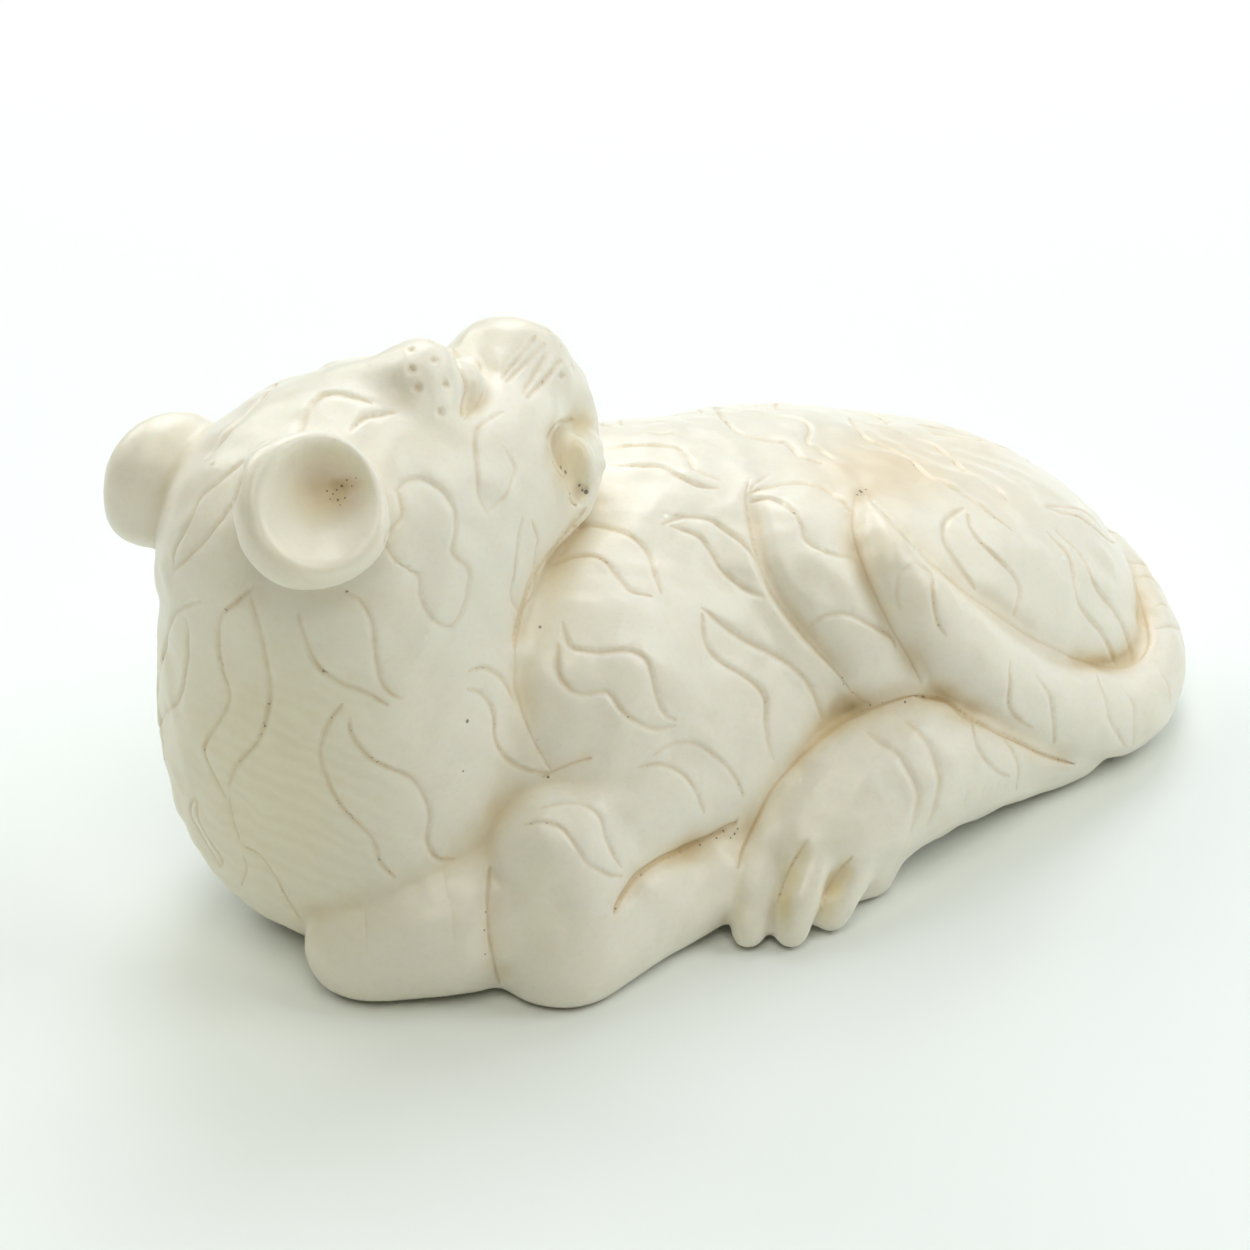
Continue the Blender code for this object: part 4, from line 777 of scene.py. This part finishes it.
def ivory(dirt_spots):
    mat = bpy.data.materials.new('polished_ivory'); mat.use_nodes = True
    nt = mat.node_tree; b = next(n for n in nt.nodes if n.type == 'BSDF_PRINCIPLED'); link = nt.links.new
    def node(kind, **kw):
        n = nt.nodes.new(kind)
        for k, v in kw.items(): setattr(n, k, v)
        return n
    def attr(name): return node('ShaderNodeAttribute', attribute_name=name).outputs['Fac']
    def ramp(src, stops):
        r = node('ShaderNodeValToRGB'); link(src, r.inputs['Fac'])
        while len(r.color_ramp.elements) < len(stops): r.color_ramp.elements.new(0.5)
        for e, (p, c) in zip(r.color_ramp.elements, stops): e.position = p; e.color = (*c, 1) if len(c) == 3 else c
        return r.outputs['Color']
    def mix(fac, a, c, kind='MIX'):
        m = node('ShaderNodeMix', data_type='RGBA', blend_type=kind)
        for s, v in ((m.inputs[0], fac), (m.inputs[6], a), (m.inputs[7], c)):
            if isinstance(v, (int, float)): s.default_value = v
            elif isinstance(v, tuple): s.default_value = (*v, 1)
            else: link(v, s)
        return m.outputs[2]
    def math_(op, a, c=0.0, clamp=False):
        m = node('ShaderNodeMath', operation=op, use_clamp=clamp)
        for s, v in ((m.inputs[0], a), (m.inputs[1], c)):
            if isinstance(v, (int, float)): s.default_value = v
            else: link(v, s)
        return m.outputs[0]
    def noise(scale, detail=3.0, rough=0.5, at=None):
        t = node('ShaderNodeTexNoise'); t.inputs['Scale'].default_value = scale; t.inputs['Detail'].default_value = detail
        t.inputs['Roughness'].default_value = rough; link(at or co, t.inputs['Vector']); return t.outputs['Fac']
    g = lambda v: (v, v, v)
    co = node('ShaderNodeTexCoord').outputs['Object']
    cloud, grain, blot = noise(110, 3), noise(3800, 2, 0.7), noise(900, 3, 0.6)
    # ivory, a little uneven
    base = mix(ramp(cloud, [(0.35, g(0)), (0.7, g(1))]), (0.905, 0.857, 0.735), (0.92, 0.877, 0.77))
    base = mix(ramp(grain, [(0.30, g(0.16)), (0.52, g(0.0))]), base, (0.76, 0.69, 0.55))
    # growth lines of the ivory, seen on the neck
    turn = node('ShaderNodeMapping'); turn.inputs['Rotation'].default_value = (0.5, 0.9, 0.3); link(co, turn.inputs['Vector'])
    band = node('ShaderNodeTexWave'); band.inputs['Scale'].default_value = 470; band.inputs['Distortion'].default_value = 7.0; band.inputs['Detail'].default_value = 4.0
    band.inputs['Detail Scale'].default_value = 1.1; link(turn.outputs['Vector'], band.inputs['Vector'])
    base = mix(math_('MULTIPLY', math_('MULTIPLY', band.outputs['Fac'], attr('hatch')), 0.15), base, (0.66, 0.58, 0.42))
    # old colour, in some patches painted shade; then painted shade in the hollows and beside the creases, and a painted
    # contact shadow along the bottom
    base = mix(math_('MULTIPLY', attr('yellow'), 0.50), base, (0.84, 0.745, 0.43))
    base = mix(math_('MULTIPLY', attr('peach'), math_('ADD', math_('MULTIPLY', blot, 0.5), 0.30)), base, (0.86, 0.68, 0.44))
    # painted shade in the hollows, broad and close
    base = mix(ramp(attr('painted_broad_hollow_shade'), [(0.0, g(0)), (0.30, g(0.55))]), base, (0.78, 0.63, 0.36))
    base = mix(ramp(attr('pit'), [(0.06, g(0)), (0.32, g(0.55))]), base, (0.72, 0.54, 0.27))
    base = mix(math_('MULTIPLY', attr('brown'), math_('ADD', math_('MULTIPLY', blot, 0.7), 0.20)), base, (0.58, 0.40, 0.17))
    # painted shade beside the creases
    base = mix(math_('MULTIPLY', attr('crease'), 0.42), base, (0.74, 0.52, 0.26))
    # painted contact shadow along the bottom edge
    base = mix(math_('MULTIPLY', attr('painted_contact_shadow'), 0.55), base, (0.50, 0.38, 0.24))
    # dirt in the cuts, broken up
    dirt = math_('MULTIPLY', attr('cut'), math_('ADD', math_('MULTIPLY', blot, 0.8), 0.18))
    base = mix(ramp(dirt, [(0.04, g(0)), (0.70, g(0.9))]), base, (0.60, 0.41, 0.16))
    speck = math_('MULTIPLY', ramp(noise(5200, 1, 0.5), [(0.64, g(0)), (0.69, g(1))]), ramp(math_('MAXIMUM', attr('cut'), math_('MULTIPLY', attr('crease'), 0.8)), [(0.30, g(0)), (0.62, g(0.75))]), clamp=True)
    base = mix(speck, base, (0.16, 0.11, 0.07))
    spots = None
    for (x, y, z), r in dirt_spots:
        d = node('ShaderNodeVectorMath', operation='DISTANCE'); link(co, d.inputs[0]); d.inputs[1].default_value = (x, y, z)
        d = ramp(math_('DIVIDE', d.outputs['Value'], r*0.001), [(0.55, g(1)), (1.0, g(0))]); spots = d if spots is None else math_('MAXIMUM', spots, d)
    base = mix(math_('MULTIPLY', spots, 0.8), base, (0.13, 0.09, 0.07))
    link(base, b.inputs['Base Color'])
    link(ramp(math_('ADD', math_('MULTIPLY', cloud, 0.5), math_('MULTIPLY', attr('pit'), 1.2)), [(0.15, g(0.29)), (0.55, g(0.52))]), b.inputs['Roughness'])
    b.inputs['Subsurface Weight'].default_value = 0.35
    b.inputs['Subsurface Radius'].default_value = (1.0, 0.75, 0.45)
    b.inputs['Subsurface Scale'].default_value = 0.0010
    b.inputs['IOR'].default_value = 1.5
    lift = math_('ADD', math_('MULTIPLY', grain, 0.5), math_('MULTIPLY', math_('MULTIPLY', band.outputs['Fac'], attr('hatch')), 0.5))
    bump = node('ShaderNodeBump'); bump.inputs['Strength'].default_value = 0.22; bump.inputs['Distance'].default_value = 0.00005
    link(lift, bump.inputs['Height']); link(bump.outputs['Normal'], b.inputs['Normal'])
    return mat

# ------------------------------------------------------------ scene
G, V, T, S, skin = make_tiger()
tiger = to_object('tiger_carving', V, T)
thin_out(tiger, 196000)
stains_and_painted_shade(tiger, G, S, skin)
tiger.data.shade_smooth()
tiger.data.materials.append(ivory(spot_places(G)))
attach(tiger, 'root')
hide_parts('reclining_tiger')
print('tiger', len(tiger.data.vertices), len(tiger.data.polygons))

def plain(name, colour, rough):
    m = bpy.data.materials.new(name); m.use_nodes = True
    b = next(n for n in m.node_tree.nodes if n.type == 'BSDF_PRINCIPLED')
    b.inputs['Base Color'].default_value = (*colour, 1); b.inputs['Roughness'].default_value = rough
    return m
bpy.ops.mesh.primitive_plane_add(size=4.0, location=(0, 0, 0))
floor = bpy.context.active_object; floor.name = 'floor'
floor.data.materials.append(plain('pale_floor', (0.90, 0.935, 0.915), 0.8))

def area(name, at, size, power, colour=(1, 1, 1)):
    l = bpy.data.lights.new(name, 'AREA'); l.shape = 'DISK'; l.size = size; l.energy = power; l.color = colour
    o = bpy.data.objects.new(name, l); bpy.context.scene.collection.objects.link(o)
    o.location = at; o.rotation_euler = (-Vector(at)).to_track_quat('-Z', 'Y').to_euler(); return o
world = bpy.data.worlds.new('studio'); bpy.context.scene.world = world; world.use_nodes = True
world.node_tree.nodes['Background'].inputs['Color'].default_value = (1.0, 0.96, 0.84, 1)
world.node_tree.nodes['Background'].inputs['Strength'].default_value = 0.058
COOL, MILD, WARM = (0.955, 1.0, 1.07), (0.96, 1.0, 0.98), (0.995, 0.99, 0.86)
for turn, rise, power, tint in ((0, 30, 0.095, COOL), (0, 55, 0.335, COOL), (0, 88, 0.06, COOL), (45, 35, 0.12, COOL), (-45, 35, 0.285, MILD), (90, 40, 0.265, MILD), (-90, 40, 0.10, WARM), (180, 60, 0.27, WARM), (90, 12, 0.08, MILD)):
    a, e = math.radians(33+turn), math.radians(rise)      # turned from straight behind the figure, as the camera sees it
    area('light_%d_%d' % (turn, rise), (0.5*math.sin(a)*math.cos(e), 0.5*math.cos(a)*math.cos(e), 0.5*math.sin(e)), 0.3, 2.47*power, tint)

cam = bpy.data.cameras.new('camera'); cam.sensor_width = 36.0; cam.lens = FOCUS/1250*36.0; cam.clip_start = 0.01; cam.clip_end = 20
co = bpy.data.objects.new('camera', cam); bpy.context.scene.collection.objects.link(co)
R = Matrix((Vector(RT), Vector(UP), Vector(-FW))).transposed().to_4x4()
co.matrix_world = Matrix.Translation(Vector((EYE_P-CENTRE)*0.001)) @ R
bpy.context.scene.camera = co
bpy.context.scene.view_settings.view_transform = 'Standard'

import json
